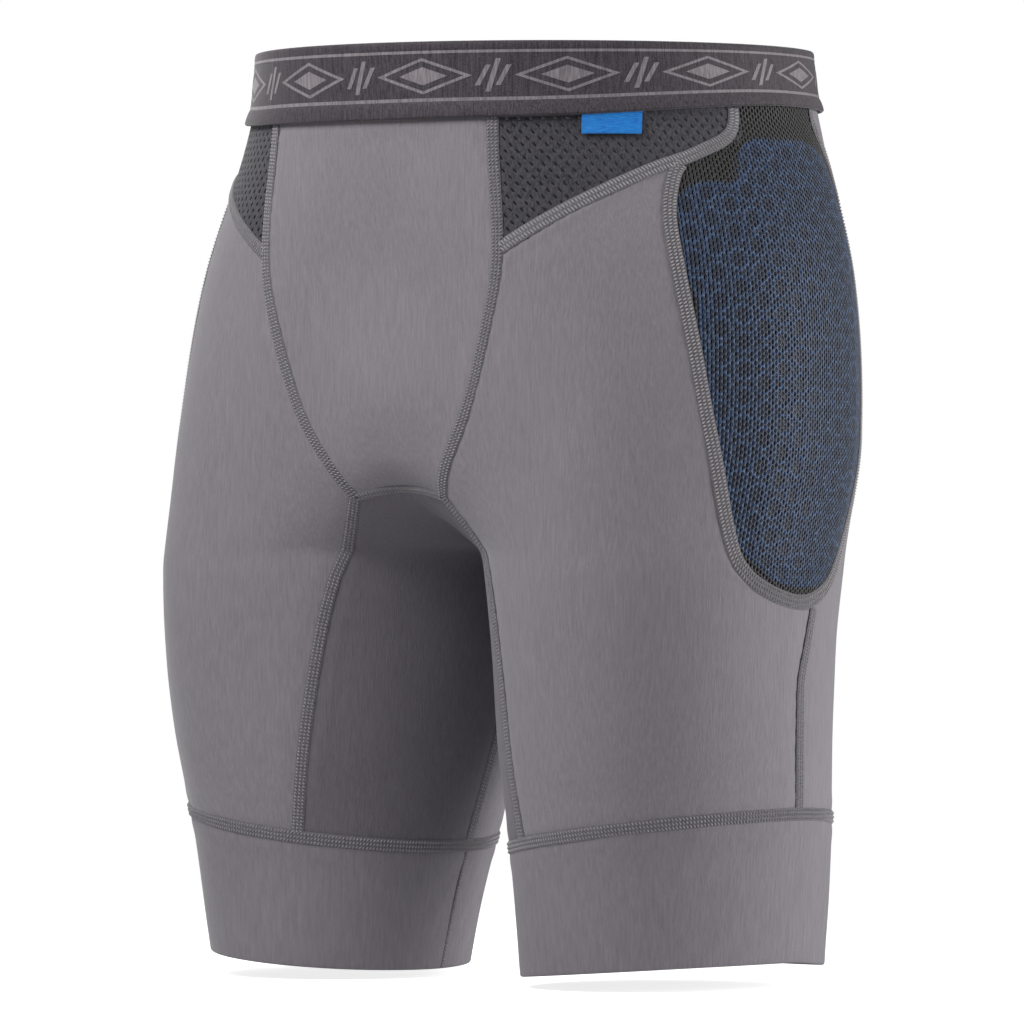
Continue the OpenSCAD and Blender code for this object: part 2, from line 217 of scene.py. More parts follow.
def flipped(points, right):
    """Points with those that belong on the right half mirrored onto it."""
    points[..., 0] *= np.where(right, -1, 1)
    return points


def length_along(points):
    """Distance of each point of a line from its start."""
    return np.concatenate([[0], np.cumsum(np.linalg.norm(np.diff(points, axis=0), axis=1))])


# ---- outlines of the panels


def insert_edge(t):
    t = np.asarray(t, float)
    return both(mix(curve(POUCH_EDGE, INSERT_TIP), INSERT_END, t), INSERT_TIP + 72 * t - 15 * t * t)


HIP_TOP = float(insert_edge(INSERT_SPLIT)[1])


def side_angle(z):
    return curve(SIDE_EDGE, z) - 4 * clamp01((z - HIP_LOW + 6) / 6)


def side_edge(t):
    z = mix(HIP_LOW, CUFF_LEVEL, t)
    return both(side_angle(z), z)


def along_cuff(start, end):
    """An edge along the cuff seam from one angle to another."""
    return lambda a: both(mix(start, end, a), CUFF_LEVEL)


def patch(top, bottom, front, back, u, v):
    """Patch between four edges: top and bottom run from front to back, the others down."""
    a, b = u[..., None], v[..., None]
    return (
        (1 - b) * top(u) + b * bottom(u) + (1 - a) * front(v) + a * back(v)
        - (1 - a) * (1 - b) * top(0.0) - a * (1 - b) * top(1.0)
        - (1 - a) * b * bottom(0.0) - a * b * bottom(1.0)
    )


def thigh_front(v):
    z = mix(INSERT_TIP, CUFF_LEVEL, np.asarray(v, float))
    return both(np.where(z > POUCH_CORNER, curve(POUCH_EDGE, z), curve(GUSSET_EDGE, z)), z)


def hip_round(t):
    t = np.asarray(t, float)
    z = mix(HIP_TOP, HIP_LOW, ease(np.minimum(1, t / HIP_CORNER)))
    under = mix(curve(HIP_FRONT, HIP_LOW), side_angle(HIP_LOW), (t - HIP_CORNER) / (1 - HIP_CORNER))
    return both(np.where(t < HIP_CORNER, curve(HIP_FRONT, z), under), z)


def down_the_side(v, upper):
    """An edge that follows upper over its first share and the side seam below."""
    v = np.asarray(v, float)
    above = upper(np.minimum(1, v / HIP_SHARE))
    below = side_edge(np.maximum(0, (v - HIP_SHARE) / (1 - HIP_SHARE)))
    return np.where((v < HIP_SHARE)[..., None], above, below)


def thigh(u, v):
    bottom = along_cuff(curve(GUSSET_EDGE, CUFF_LEVEL), curve(SIDE_EDGE, CUFF_LEVEL))
    return patch(
        lambda a: insert_edge(INSERT_SPLIT * a), bottom, thigh_front,
        lambda b: down_the_side(b, hip_round), u, v,
    )


def back_front(v):
    return down_the_side(v, lambda t: at_levels(HIP_BACK, mix(PANEL_TOP, HIP_LOW, np.sin(np.pi / 2 * t))))


def back_rear(v):
    v = np.asarray(v, float)
    upper = mix(PANEL_TOP, CROTCH, np.sin(np.pi / 2 * np.minimum(1, v / HIP_SHARE)))
    lower = mix(CROTCH, CUFF_LEVEL, np.maximum(0, (v - HIP_SHARE) / (1 - HIP_SHARE)))
    above = both(centre_angle(upper), upper)
    return np.where((v < HIP_SHARE)[..., None], above, at_levels(INSEAM_EDGE, lower, 360))


def back(u, v):
    def top(a):
        return both(mix(curve(HIP_BACK, PANEL_TOP), centre_angle(PANEL_TOP), a), PANEL_TOP)

    bottom = along_cuff(curve(SIDE_EDGE, CUFF_LEVEL), curve(INSEAM_EDGE, CUFF_LEVEL) + 360)
    return patch(top, bottom, back_front, back_rear, u, v)


def gusset_top(u):
    u = np.asarray(u, float)
    t = np.minimum(1, u / POUCH_SHARE)
    under = both(mix(curve(POUCH_EDGE, POUCH_CORNER), -centre_angle(POUCH_MID), t),
                 mix(POUCH_CORNER, POUCH_MID, t))
    past = np.maximum(0, (u - POUCH_SHARE) / (1 - POUCH_SHARE))
    z = mix(POUCH_MID, CROTCH, np.sin(np.pi / 2 * past))
    return np.where((u < POUCH_SHARE)[..., None], under, both(-centre_angle(z), z))


def gusset(u, v):
    def down(table, top):
        return lambda b: at_levels(table, mix(top, CUFF_LEVEL, np.asarray(b, float)))

    bottom = along_cuff(curve(GUSSET_EDGE, CUFF_LEVEL), curve(INSEAM_EDGE, CUFF_LEVEL))
    return patch(gusset_top, bottom, down(GUSSET_EDGE, POUCH_CORNER), down(INSEAM_EDGE, CROTCH), u, v)


def pouch_level(t):
    """Level of the pouch's bottom edge, from the centre at 0 to a corner at 1."""
    return mix(POUCH_MID, POUCH_CORNER, t * t)


def hip_crown(phi, level):
    """How far the hip pocket stands proud of the body, by how far across and down it a place is."""
    start, end = curve(HIP_FRONT, level), curve(HIP_BACK, level)
    across = clamp01((phi - start) / np.maximum(end - start, 1))
    down = clamp01((level - PANEL_TOP) / (HIP_LOW - PANEL_TOP))
    return HIP_CROWN * (1 - (2 * across - 1) ** 4) ** 2 * (1 - (2 * down - 1) ** 4)


def tail_width(v):
    """Half width of the tailbone pocket at a share of its height from its top."""
    return TAIL_HALF_W * np.maximum(0, 1 - np.abs(1.7 * v - 0.7) ** 3.5) ** 0.4


def back_angle(x, level):
    """Angle of a place on the back at a distance x from the centre plane."""
    ratio = (x - curve(SECTIONS, level, 1)) / curve(SECTIONS, level, 2)
    return np.degrees(np.arccos(np.maximum(-1, ratio)))


def band_rise(phi):
    """How far the waistband's lower edge rises towards the sides and the back."""
    return 2 + 7.5 * smooth(clamp01((phi + 62) / 70))


def under_band(q):
    """Draws the top of a panel up under the waistband."""
    near = clamp01(1 - (PANEL_TOP - q[..., 1]) / 40)
    return both(q[..., 0], q[..., 1] + (band_rise(q[..., 0]) + UNDER_BAND) * near * near)


def back_under_band(u, v):
    """The back panel, drawn up under the waistband along the hip pocket's rear seam."""
    q = back(u, v)
    level = under_band(q)[..., 1]
    shift = curve(HIP_BACK, level) - curve(HIP_BACK, q[..., 1])
    return both(q[..., 0] + shift * (1 - u) * (q[..., 1] > HIP_LOW), level)


# ---- flat maps of the surface


class FlatMap:
    """Turns a distance along the cloth from a reference angle into an angle, and back."""

    def __init__(self, reference, first, last, top, bottom):
        self.top, self.step = top, 2.0
        self.phi = np.linspace(first, last, 361)
        self.levels = np.arange(top, bottom - self.step, -self.step)
        points = body_point(self.phi[None, :], self.levels[:, None])
        steps = np.linalg.norm(np.diff(points, axis=1), axis=2)
        along = np.concatenate([np.zeros((len(steps), 1)), np.cumsum(steps, axis=1)], axis=1)
        zero = np.array([np.interp(reference, self.phi, row) for row in along])
        self.along = along - zero[:, None]
        self.grid = np.linspace(self.along.min(), self.along.max(), 721)
        self.angles = np.array([np.interp(self.grid, row, self.phi) for row in self.along])

    def read(self, table, axis, value, level):
        row = np.clip((self.top - level) / self.step, 0, len(self.levels) - 1.001)
        column = np.clip((value - axis[0]) / (axis[1] - axis[0]), 0, len(axis) - 1.001)
        i, j = row.astype(int), column.astype(int)
        a, b = row - i, column - j
        upper = mix(table[i, j], table[i, j + 1], b)
        lower = mix(table[i + 1, j], table[i + 1, j + 1], b)
        return mix(upper, lower, a)

    def angle(self, distance, level):
        return self.read(self.angles, self.grid, distance, level)

    def distance(self, phi, level):
        return self.read(self.along, self.phi, phi, level)


def inside(points, outline):
    """Whether each flat point is inside a closed outline."""
    x, y = points[:, 0, None], points[:, 1, None]
    x0, y0 = outline[:, 0], outline[:, 1]
    x1, y1 = np.roll(x0, -1), np.roll(y0, -1)
    crosses = (y0 > y) != (y1 > y)
    slope = (x1 - x0) / np.where(y1 == y0, 1, y1 - y0)
    return (crosses & (x < x0 + slope * (y - y0))).sum(axis=1) % 2 == 1


def closed_spline(corners, count):
    """Smooth closed line through corners, evenly spaced along its length."""
    p = np.asarray(corners, float)
    t = np.linspace(0, 1, 16, endpoint=False)[:, None]
    a, b, c, d = (np.roll(p, k, axis=0)[:, None, :] for k in (1, 0, -1, -2))
    square, cube = 2 * a - 5 * b + 4 * c - d, 3 * b - a - 3 * c + d
    fine = (0.5 * (2 * b + (c - a) * t + square * t**2 + cube * t**3)).reshape(-1, 2)
    ring = np.concatenate([fine, fine[:1]])
    along = length_along(ring)
    even = np.linspace(0, along[-1], count, endpoint=False)
    return both(np.interp(even, along, ring[:, 0]), np.interp(even, along, ring[:, 1]))


# ---- natural unevenness

WAVES = np.random.default_rng(11)
WAVE_COUNT = 18
WAVE_HEIGHT = 0.09
SHORTEST, LONGEST = 26, 95
WAVE_DIRECTIONS = unit(WAVES.normal(size=(WAVE_COUNT, 3)))
WAVE_LENGTHS = WAVES.uniform(SHORTEST, LONGEST, WAVE_COUNT)
WAVE_PHASES = WAVES.uniform(0, 2 * math.pi, WAVE_COUNT)


def unevenness(points):
    """Low soft waves in the cloth, in millimetres, the same wherever two panels meet."""
    turns = points @ (WAVE_DIRECTIONS / WAVE_LENGTHS[:, None]).T
    waves = np.sin(2 * np.pi * turns + WAVE_PHASES) * (WAVE_LENGTHS / LONGEST)
    return waves.sum(axis=-1) * WAVE_HEIGHT


def cloth_relief(u, v, width, height, points):
    """How a panel dips into its seams, stands up beside them, puckers along them and waves inside."""
    sides, ends = to_edge(u) * width, to_edge(v) * height
    along = np.where(sides < ends, v * height, u * width)
    distance = np.minimum(sides, ends)
    dip = -0.2 * np.exp(-((distance / 2.5) ** 2))
    puff = 0.3 * np.exp(-(((distance - 7) / 4) ** 2))
    pucker = 0.10 * np.exp(-((distance / 9) ** 2)) * np.sin(2 * np.pi * along / 8.5)
    return dip + puff + pucker + unevenness(points)


# ---- meshes


def quads(a, b, c, d):
    return np.stack([a, b, c, d], -1).reshape(-1, 4)


# Material numbers of a skin's six arrays of faces: its inner face is the cloth's wrong side, which gets the
# dark inside knit as painted shade inside the garment.
SKIN_GROUPS = [0, 1, 0, 0, 0, 0]


def signed_volume(points, faces):
    total = 0.0
    for group in faces:
        for k in range(1, group.shape[1] - 1):
            a, b, c = points[group[:, 0]], points[group[:, k]], points[group[:, k + 1]]
            total += (a * np.cross(b, c)).sum()
    return total


def add_piece(name, points, faces, materials, side=1, groups=None, values=None, crease=50):
    """Mesh object from points in millimetres and arrays of faces, with its normals outward.

    groups holds a material number for each array of faces, and values named numbers per point.
    """
    points = np.asarray(points, float).reshape(-1, 3) * [side * MM, MM, MM]
    faces = [np.asarray(f, int) for f in faces]
    if signed_volume(points, faces) < 0:
        faces = [f[:, ::-1] for f in faces]
    sizes = np.concatenate([np.full(len(f), f.shape[1]) for f in faces])
    mesh = bpy.data.meshes.new(name)
    mesh.vertices.add(len(points))
    mesh.vertices.foreach_set("co", points.astype(np.float32).ravel())
    mesh.loops.add(int(sizes.sum()))
    mesh.loops.foreach_set("vertex_index", np.concatenate([f.ravel() for f in faces]).astype(np.int32))
    mesh.polygons.add(len(sizes))
    mesh.polygons.foreach_set("loop_start", np.concatenate([[0], np.cumsum(sizes)[:-1]]).astype(np.int32))
    for material in materials:
        mesh.materials.append(material)
    if groups is not None:
        numbers = np.concatenate([np.full(len(f), g) for f, g in zip(faces, groups)])
        mesh.polygons.foreach_set("material_index", numbers.astype(np.int32))
    mesh.polygons.foreach_set("use_smooth", np.ones(len(sizes), bool))
    mesh.update(calc_edges=True)
    mesh.validate()
    mesh.set_sharp_from_angle(angle=math.radians(crease))
    for key, numbers in (values or {}).items():
        attribute = mesh.attributes.new(key, "FLOAT", "POINT")
        attribute.data.foreach_set("value", np.asarray(numbers, np.float32).ravel())
    piece = bpy.data.objects.new(name, mesh)
    bpy.context.scene.collection.objects.link(piece)
    return piece


def skin(place, nu, nv, thick):
    """Points and faces of a closed skin over a grid. place(u, v, lift) gives the points."""
    u, v = np.meshgrid(np.arange(nu + 1) / nu, np.arange(nv + 1) / nv)
    points = np.concatenate([place(u, v, lift).reshape(-1, 3) for lift in (0.0, -thick)])
    cols, count = nu + 1, (nu + 1) * (nv + 1)

    def at(i, j, layer):
        return layer * count + j * cols + i

    i, j = np.meshgrid(np.arange(nu), np.arange(nv))
    m, n = np.arange(nu), np.arange(nv)
    faces = [
        quads(at(i, j, 0), at(i, j + 1, 0), at(i + 1, j + 1, 0), at(i + 1, j, 0)),
        quads(at(i, j, 1), at(i + 1, j, 1), at(i + 1, j + 1, 1), at(i, j + 1, 1)),
        quads(at(m, 0, 0), at(m + 1, 0, 0), at(m + 1, 0, 1), at(m, 0, 1)),
        quads(at(m, nv, 0), at(m, nv, 1), at(m + 1, nv, 1), at(m + 1, nv, 0)),
        quads(at(0, n, 0), at(0, n, 1), at(0, n + 1, 1), at(0, n + 1, 0)),
        quads(at(nu, n, 0), at(nu, n + 1, 0), at(nu, n + 1, 1), at(nu, n, 1)),
    ]
    return points, faces


def loft(rings, closed, first=0):
    """Faces over rings of points, each ring closed, with the number of its first point."""
    count, size = rings.shape[:2]
    steps = count if closed else count - 1
    i, k = np.meshgrid(np.arange(steps), np.arange(size))
    nxt, turn = (i + 1) % count, (k + 1) % size
    faces = [quads(i * size + k, i * size + turn, nxt * size + turn, nxt * size + k) + first]
    if not closed:
        ends = np.stack([np.arange(size)[::-1], (count - 1) * size + np.arange(size)])
        faces.append(ends + first)
    return faces


def thread_pieces(starts, ends, ups, radius):
    """Points and faces of many short plump threads, each of three rings of four points."""
    along = ends - starts
    across = unit(np.cross(along, ups))
    over = unit(np.cross(across, along))
    rings = []
    for share, size, rise in ((0.0, 0.45, -0.1), (0.5, 1.0, 0.12), (1.0, 0.45, -0.1)):
        middle = starts + along * share + ups * rise
        for c, s in ((1, 0), (0, 1), (-1, 0), (0, -1)):
            rings.append(middle + (across * c + over * s) * radius * size)
    base = (np.arange(len(starts)) * 12)[:, None]
    ring = np.arange(4)
    turn = (ring + 1) % 4
    walls = [quads(a + ring, a + turn, a + 4 + turn, a + 4 + ring) for a in (base, base + 4)]
    caps = [base + ring[::-1], base + 8 + ring]
    return np.stack(rings, axis=1).reshape(-1, 3), np.concatenate(walls + caps)


# ---- materials

WHITE = (1, 1, 1, 1)


def linear(rgb):
    """An sRGB colour of 0 to 255 as the linear colour that a shader takes."""
    def one(c):
        return c / 12.92 if c <= 0.04045 else ((c + 0.055) / 1.055) ** 2.4

    return [one(c / 255) for c in rgb] + [1.0]


class Nodes:
    """The node tree of a material or a world, with short calls for the nodes used here."""

    def __init__(self, owner):
        owner.use_nodes = True
        self.tree = owner.node_tree

    def fill(self, node, inputs):
        """Sets each input of a node to a value, or links it to another node's output."""
        for key, value in inputs.items():
            if isinstance(value, bpy.types.NodeSocket):
                self.tree.links.new(value, node.inputs[key])
            else:
                node.inputs[key].default_value = value

    def add(self, kind, inputs=None, **settings):
        node = self.tree.nodes.new("ShaderNode" + kind)
        for key, value in settings.items():
            setattr(node, key, value)
        self.fill(node, inputs or {})
        return node

    def weighted(self, *terms):
        """Sum of values, each times its weight."""
        total = 0.0
        for value, weight in terms:
            total = self.add("Math", {0: value, 1: weight, 2: total}, operation="MULTIPLY_ADD").outputs[0]
        return total


class Material(Nodes):
    """A piece's material, with noises that stay with the object."""

    def __init__(self, name, roughness, sheen, specular, sheen_roughness=0.5):
        self.name, self.material = name, bpy.data.materials.new(name)
        super().__init__(self.material)
        self.place = self.add("TexCoord").outputs["Object"]
        self.shader = self.tree.nodes["Principled BSDF"]
        self.fill(self.shader, {
            "Roughness": roughness, "Sheen Weight": sheen, "Sheen Roughness": sheen_roughness,
            "Specular IOR Level": specular,
        })

    def noise(self, scale, detail=2, rough=0.5):
        """Noise at so many grains per metre along X, Y and Z."""
        mapping = self.add("Mapping", {"Vector": self.place, "Scale": scale})
        inputs = {"Vector": mapping.outputs["Vector"], "Scale": 1, "Detail": detail, "Roughness": rough}
        return self.add("TexNoise", inputs).outputs["Fac"]

    def ramp(self, value, dark, light, spread=0.15):
        """Colour that goes from dark to light as a value passes 0.5."""
        node = self.add("ValToRGB", {"Fac": value})
        first, last = node.color_ramp.elements
        first.position, first.color = 0.5 - spread, linear(dark)
        last.position, last.color = 0.5 + spread, linear(light)
        return node.outputs["Color"]

    def blend(self, numbers, a, b):
        """Mix of two colours by a piece's named numbers."""
        share = self.add("Attribute", attribute_name=numbers).outputs["Fac"]
        return self.add("Mix", {"Factor": share, "A": a, "B": b}, data_type="RGBA").outputs["Result"]

    def surface(self, colour, height, relief, depth=0.0004):
        """Sets the colour and the strength and depth of the relief. Returns the name and the material."""
        self.fill(self.shader, {"Base Color": colour})
        if relief:
            bump = self.add("Bump", {"Height": height, "Strength": relief, "Distance": depth})
            self.fill(self.shader, {"Normal": bump.outputs["Normal"]})
        return self.name, self.material


def knit(name, dark, light, sheen, streaks=(1150, 1150, 75)):
    """Fine stretch knit: vertical streaks of slightly different yarn, over a small even grain."""
    cloth = Material(name, 0.78, sheen, 0.22, 0.45)
    streak = cloth.noise(streaks, 3, 0.6)
    grain = cloth.noise((2400, 2400, 1500), 1)
    mottle = cloth.noise((26, 26, 14))
    shade = cloth.weighted((streak, 0.62), (grain, 0.28), (mottle, 0.1))
    loops = cloth.noise((1900, 1900, 420), 1)
    height = cloth.weighted((loops, 1), (streak, 1))
    return cloth.surface(cloth.ramp(shade, dark, light, 0.16), height, 0.35)


def flecked(name, finish, grain, dark, light, relief=(0,), spread=0.15):
    """Material in two shades. finish is its roughness, sheen and specular level, and grain its noise."""
    made = Material(name, *finish)
    fleck = made.noise(*grain)
    return made.surface(made.ramp(fleck, dark, light, spread), fleck, *relief)


def woven_elastic():
    elastic = Material("elastic", 0.7, 0.3, 0.25, 0.4)
    rib, speck = elastic.noise((1300, 1300, 60)), elastic.noise((1800, 1800, 1400), 1)
    woven = elastic.weighted((rib, 0.55), (speck, 0.45))
    return elastic.surface(elastic.ramp(woven, (41, 36, 42), (75, 69, 75), 0.12), woven, 0.6, 0.0005)


def pocket_yarn():
    """The hip net's yarn, with painted light: the pad's blue painted in where the pad lies behind it, and a
    brighter painted highlight over the pad's lit rings and rim.
    """
    yarn = Material("pocket_mesh", 0.55, 0.15, 0.4)
    twine = yarn.noise((1000, 1000, 700))
    plain = yarn.ramp(twine, (20, 19, 20), (50, 47, 46))
    # Painted light: the pad's blue as seen through the yarn, and brighter over the pad's lit rings and rim.
    painted_pad_light = yarn.ramp(twine, (13, 19, 35), (38, 50, 71))
    painted_ring_highlight = yarn.ramp(twine, (34, 55, 86), (78, 102, 134))
    return yarn.surface(yarn.blend("cell", yarn.blend("behind", plain, painted_pad_light), painted_ring_highlight), twine, 0)


# The foam is one blue. Its dark low colour is painted shade between the rings, and its bright high colour,
# where raised is 1, is a painted highlight on the rings and along the rim.
def pad_foam():
    pad = Material("pad", 0.45, 0, 0.4)
    foam = pad.noise((700, 700, 700), 3)
    low = pad.ramp(foam, (6, 18, 46), (14, 36, 80), 0.2)
    high = pad.ramp(foam, (26, 82, 160), (48, 118, 205), 0.2)
    return pad.surface(pad.blend("raised", low, high), foam, 0.3)


def make_materials():
    """The pieces' materials, by name."""
    thread, twist = (0.55, 0.3, 0.4), ((900, 900, 900),)
    made = [
        knit("jersey", (113, 109, 115), (131, 127, 133), 0.22),
        # The gusset knit is the jersey made darker: painted shade between the legs.
        knit("gusset", (91, 87, 94), (107, 103, 110), 0.16),
        knit("cuff", (110, 106, 112), (127, 123, 129), 0.18, (800, 800, 40)),
        # The inside knit is the jersey made far darker: painted shade inside the garment.
        knit("inside", (32, 31, 34), (50, 48, 52), 0.1),
        knit("lining", (14, 14, 16), (28, 27, 30), 0.05),
        flecked("seam_base", (0.85, 0.2, 0.15), ((1500, 1500, 1500),), (88, 85, 90), (116, 113, 118), (0.5,)),
        flecked("thread", thread, twist, (118, 115, 120), (144, 141, 145), spread=0.2),
        flecked("thread_light", thread, twist, (132, 130, 132), (164, 161, 163), spread=0.2),
        flecked("elastic_yarn", (0.6, 0.3, 0.3), ((1300, 1300, 90),), (100, 94, 99), (130, 123, 128), (0.5,)),
        flecked("insert_mesh", (0.8, 0.2, 0.2), ((1100, 1100, 500), 3, 0.6), (44, 43, 48), (74, 72, 78),
                (0.45,)),
        flecked("tab", (0.42, 0.15, 0.45), ((300, 300, 2600),), (8, 98, 178), (20, 126, 204), (0.35, 0.0003)),
        woven_elastic(), pocket_yarn(), pad_foam(),
    ]
    return dict(made)


# ---- attaching pieces


def attach(piece, body, slot, *nodes):
    """Says what a piece moves with and the CAD nodes it stands for. slot, its kind of material, is not used.

    A piece on a hip is not parented: its transform is baked into its mesh.
    """
    if body.endswith("_hip"):
        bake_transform(piece)
    else:
        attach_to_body(piece, body)
    if nodes:
        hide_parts(*nodes)


def add_pair(made, piece_name, node, points, faces, kind, body="_hip", flat=None, **look):
    """A piece and its mirror image. kind is its material, and body ends its body's name or is empty."""
    for name, side in SIDES.items():
        piece = add_piece(piece_name + name, points, faces, [made[kind]], side, **look)
        attach(piece, name + body if body else "trunk", kind, node + name)


# ---- panels


def panel(name, area, size, edges, material, side, count):
    """Cloth panel over an area of the body. size is its width and height, and edges its gaps."""
    width, height = size
    start_u, end_u, start_v, end_v = (edge * PANEL_GAP for edge in edges)

    def place(u, v, lift):
        q = area(mix(start_u / width, 1 - end_u / width, u), mix(start_v / height, 1 - end_v / height, v))
        phi, level = q[..., 0], q[..., 1]
        return on_body(phi, level, lift + cloth_relief(u, v, width, height, body_point(phi, level)))

    points, faces = skin(place, count[0], count[1], FABRIC_T)
    return add_piece(name, points, faces, material, side, SKIN_GROUPS)


# Each panel's name, CAD node, cloth, area, width and height, gaps, cells of its mesh and flat size.
PANELS = [
    ("thigh_cloth_", "thigh_panel_", "jersey", thigh,
     (130, 290), (1, 1, 1, 1), (70, 170), (200, 300, 45000)),
    ("back_cloth_", "back_panel_", "jersey", back_under_band,
     (180, 340), (1, 0, 1, 1), (90, 180), (240, 350, 70000)),
    # The gusset's cloth is the jersey with painted shade between the legs.
    ("gusset_cloth_", "gusset_", "gusset", gusset,
     (100, 150), (1, 1, 0, 1), (56, 84), (100, 170, 14500)),
]


def build_panels(made):
    for name, side in SIDES.items():
        for piece_name, node, cloth, area, size, edges, count, flat in PANELS:
            cloths = [made[cloth], made["inside"]]
            piece = panel(piece_name + name, area, size, edges, cloths, side, count)
            attach(piece, name + "_hip", "jersey", node + name)


def build_pouch(made):
    def place(u, v, lift):
        t = np.abs(2 * u - 1)
        z = mix(PANEL_TOP, pouch_level(t) + PANEL_GAP, v)
        phi = mix(-centre_angle(z), curve(POUCH_EDGE, z) - 0.2, t)
        z = under_band(both(phi, z))[..., 1]
        raised = cloth_relief(u, v, 150, 180, flipped(body_point(phi, z), u < 0.5))
        return flipped(on_body(phi, z, lift + raised), u < 0.5)

    points, faces = skin(place, 84, 104, FABRIC_T)
    pouch = add_piece("pouch_cloth", points, faces, [made["jersey"], made["inside"]], 1, SKIN_GROUPS)
    attach(pouch, "trunk", "jersey", "front_pouch")


# ---- nets


def net(place, centres, corners, rims, thick, bevel):
    """Points and faces of a net: one tile round each hole. corners and rims are flat offsets."""
    count, sides = len(centres), len(corners)
    outer = (centres[:, None, :] + corners).reshape(-1, 2)
    _, first, number = np.unique(np.round(outer, 3), axis=0, return_index=True, return_inverse=True)
    number = number.reshape(count, sides)
    shared = outer[first]
    holes = (centres[:, None, :] + rims).reshape(-1, 2)
    flat = np.concatenate([shared, holes, holes, shared])
    depths = [0, bevel, thick - bevel * 0.5, thick]
    drop = np.repeat(depths, [len(shared), len(holes), len(holes), len(shared)])
    below = len(shared) + 2 * len(holes)
    hole = len(shared) + np.arange(len(holes)).reshape(count, sides)
    loops = [number, hole, hole + len(holes), number + below]
    turn = np.roll(np.arange(sides), -1)
    faces = [quads(a, a[:, turn], b[:, turn], b) for a, b in zip(loops, loops[1:])]
    edges = np.stack([number, number[:, turn]], -1).reshape(-1, 2)
    _, where, uses = np.unique(np.sort(edges, axis=1), axis=0, return_index=True, return_counts=True)
    rim = edges[where[uses == 1]]
    faces.append(quads(rim[:, 1], rim[:, 0], rim[:, 0] + below, rim[:, 1] + below))
    return place(flat, -drop), faces, flat


def hexagon(p, q):
    """Corners of the cell round one hole of a staggered net, with column pitch p and row pitch q."""
    reach = (p * p + q * q / 4) / 2
    wide, narrow = reach / p, (reach - q * q / 4) / p
    half = np.array([[wide, 0], [narrow, q / 2], [-narrow, q / 2]])
    return np.concatenate([half, -half])


def staggered(p, q, left, right, low, high):
    """Centres of a staggered net's holes over a rectangle."""
    columns = np.arange(math.floor(left / p), math.ceil(right / p) + 1)
    rows = np.arange(math.floor(low / q), math.ceil(high / q) + 1)
    i, j = np.meshgrid(columns, rows)
    return both(i * p, (j + (i % 2) * 0.5) * q).reshape(-1, 2)


HIP_MAP = FlatMap(4, -48, 56, -22, -292)
HIP_NET_PITCH = (2.05, 3.0)
HIP_NET_HOLE = (0.57, 1.43)
HIP_NET_T = 0.6
HIP_NET_BEVEL = 0.22

# Outline of the hip pad, as angles and levels, from its lobed top front edge round the pocket.
PAD_LOBES = [
    [-32, -81], [-29, -75], [-26, -71], [-20, -69], [-16, -71], [-13, -65], [-12, -57],
    [-10, -51], [-7, -48], [-3, -47], [13, -48], [25, -56], [31, -68],
]
PAD_FOOT = [[20, -266], [12, -271], [2, -270], [-7, -265]]
PAD_NOTCH = -131

# The pad's raised rings: their pitch, radius and half width.
PAD_CELL = 13.5
RING_R = 5.2
RING_W = 0.75

# Radius of the pads' rounded edge.
PAD_EDGE = 2.5


def pad_outline():
    """The hip pad's outline on the flat map."""
    down = np.arange(-84, -264, -9.0)
    notch = 1.6 * np.exp(-(((down - PAD_NOTCH) / 5) ** 2))
    back_edge = both(curve(HIP_BACK, down) - 3.2, down)
    front_edge = both(curve(HIP_FRONT, down) + 2.2 + notch, down)
    ring = np.concatenate([PAD_LOBES, back_edge[:-1], PAD_FOOT, front_edge[:-1][::-1]])
    return closed_spline(both(HIP_MAP.distance(ring[:, 0], ring[:, 1]), ring[:, 1]), 460)


def cell_ring(flat):
    """Height of the pad's raised rings, from 0 to 1, at flat places."""
    p, q = PAD_CELL * 0.866, PAD_CELL
    column = np.round(flat[:, 0] / p)
    best = np.full(len(flat), 1e9)
    for i in (column - 1, column, column + 1):
        offset = (i % 2) * 0.5
        centre = both(i * p, (np.round(flat[:, 1] / q - offset) + offset) * q)
        best = np.minimum(best, np.linalg.norm(flat - centre, axis=1))
    return np.exp(-(((best - RING_R) / RING_W) ** 4))


def painted_net_light(flat, outline):
    """Painted light on the net: how much of the pad's blue is painted into the yarn, and how much painted
    highlight its lit rings and rim add.
    """
    gaps = np.array([np.min((outline[:, 0] - x) ** 2 + (outline[:, 1] - y) ** 2) for x, y in flat])
    over = inside(flat, outline)
    edge = np.exp(-gaps / 1.5**2)
    # behind paints the pad's blue into the yarn; cell paints a highlight over the lit rings and along the
    # rim.
    return {"behind": over, "cell": over * np.maximum(0.85 * cell_ring(flat), 0.6 * edge)}


def place_on_hip(flat, lift):
    phi = HIP_MAP.angle(flat[:, 0], flat[:, 1])
    return on_body(phi, flat[:, 1], lift + hip_crown(phi, flat[:, 1]))


def build_hip_nets(made):
    p, q = HIP_NET_PITCH
    centres = staggered(p, q, -100, 100, HIP_LOW, PANEL_TOP + 14)
    level = centres[:, 1]
    phi = HIP_MAP.angle(centres[:, 0], level)
    keep = (level < PANEL_TOP + UNDER_BAND + band_rise(phi)) & (level > HIP_LOW - 1.5)
    keep &= (phi > curve(HIP_FRONT, level) - 0.7) & (phi < curve(HIP_BACK, level) + 0.7)
    turns = np.radians(np.arange(0, 360, 60))
    rims = both(HIP_NET_HOLE[0] * np.cos(turns), HIP_NET_HOLE[1] * np.sin(turns))
    points, faces, flat = net(place_on_hip, centres[keep], hexagon(p, q), rims, HIP_NET_T, HIP_NET_BEVEL)
    add_pair(made, "hip_net_", "hip_mesh_", points, faces, "pocket_mesh", flat=(165, 245, 32500),
             values=painted_net_light(flat, pad_outline()), crease=180)


INSERT_MAP = FlatMap(-45, -84, 2, -22, -112)
INSERT_STEP = (6.0, 3.2)
INSERT_SHIFT = 3.4
INSERT_HOLE = (0.72, 1.3)
INSERT_SLANT = math.radians(30)
INSERT_BEVEL = 0.15


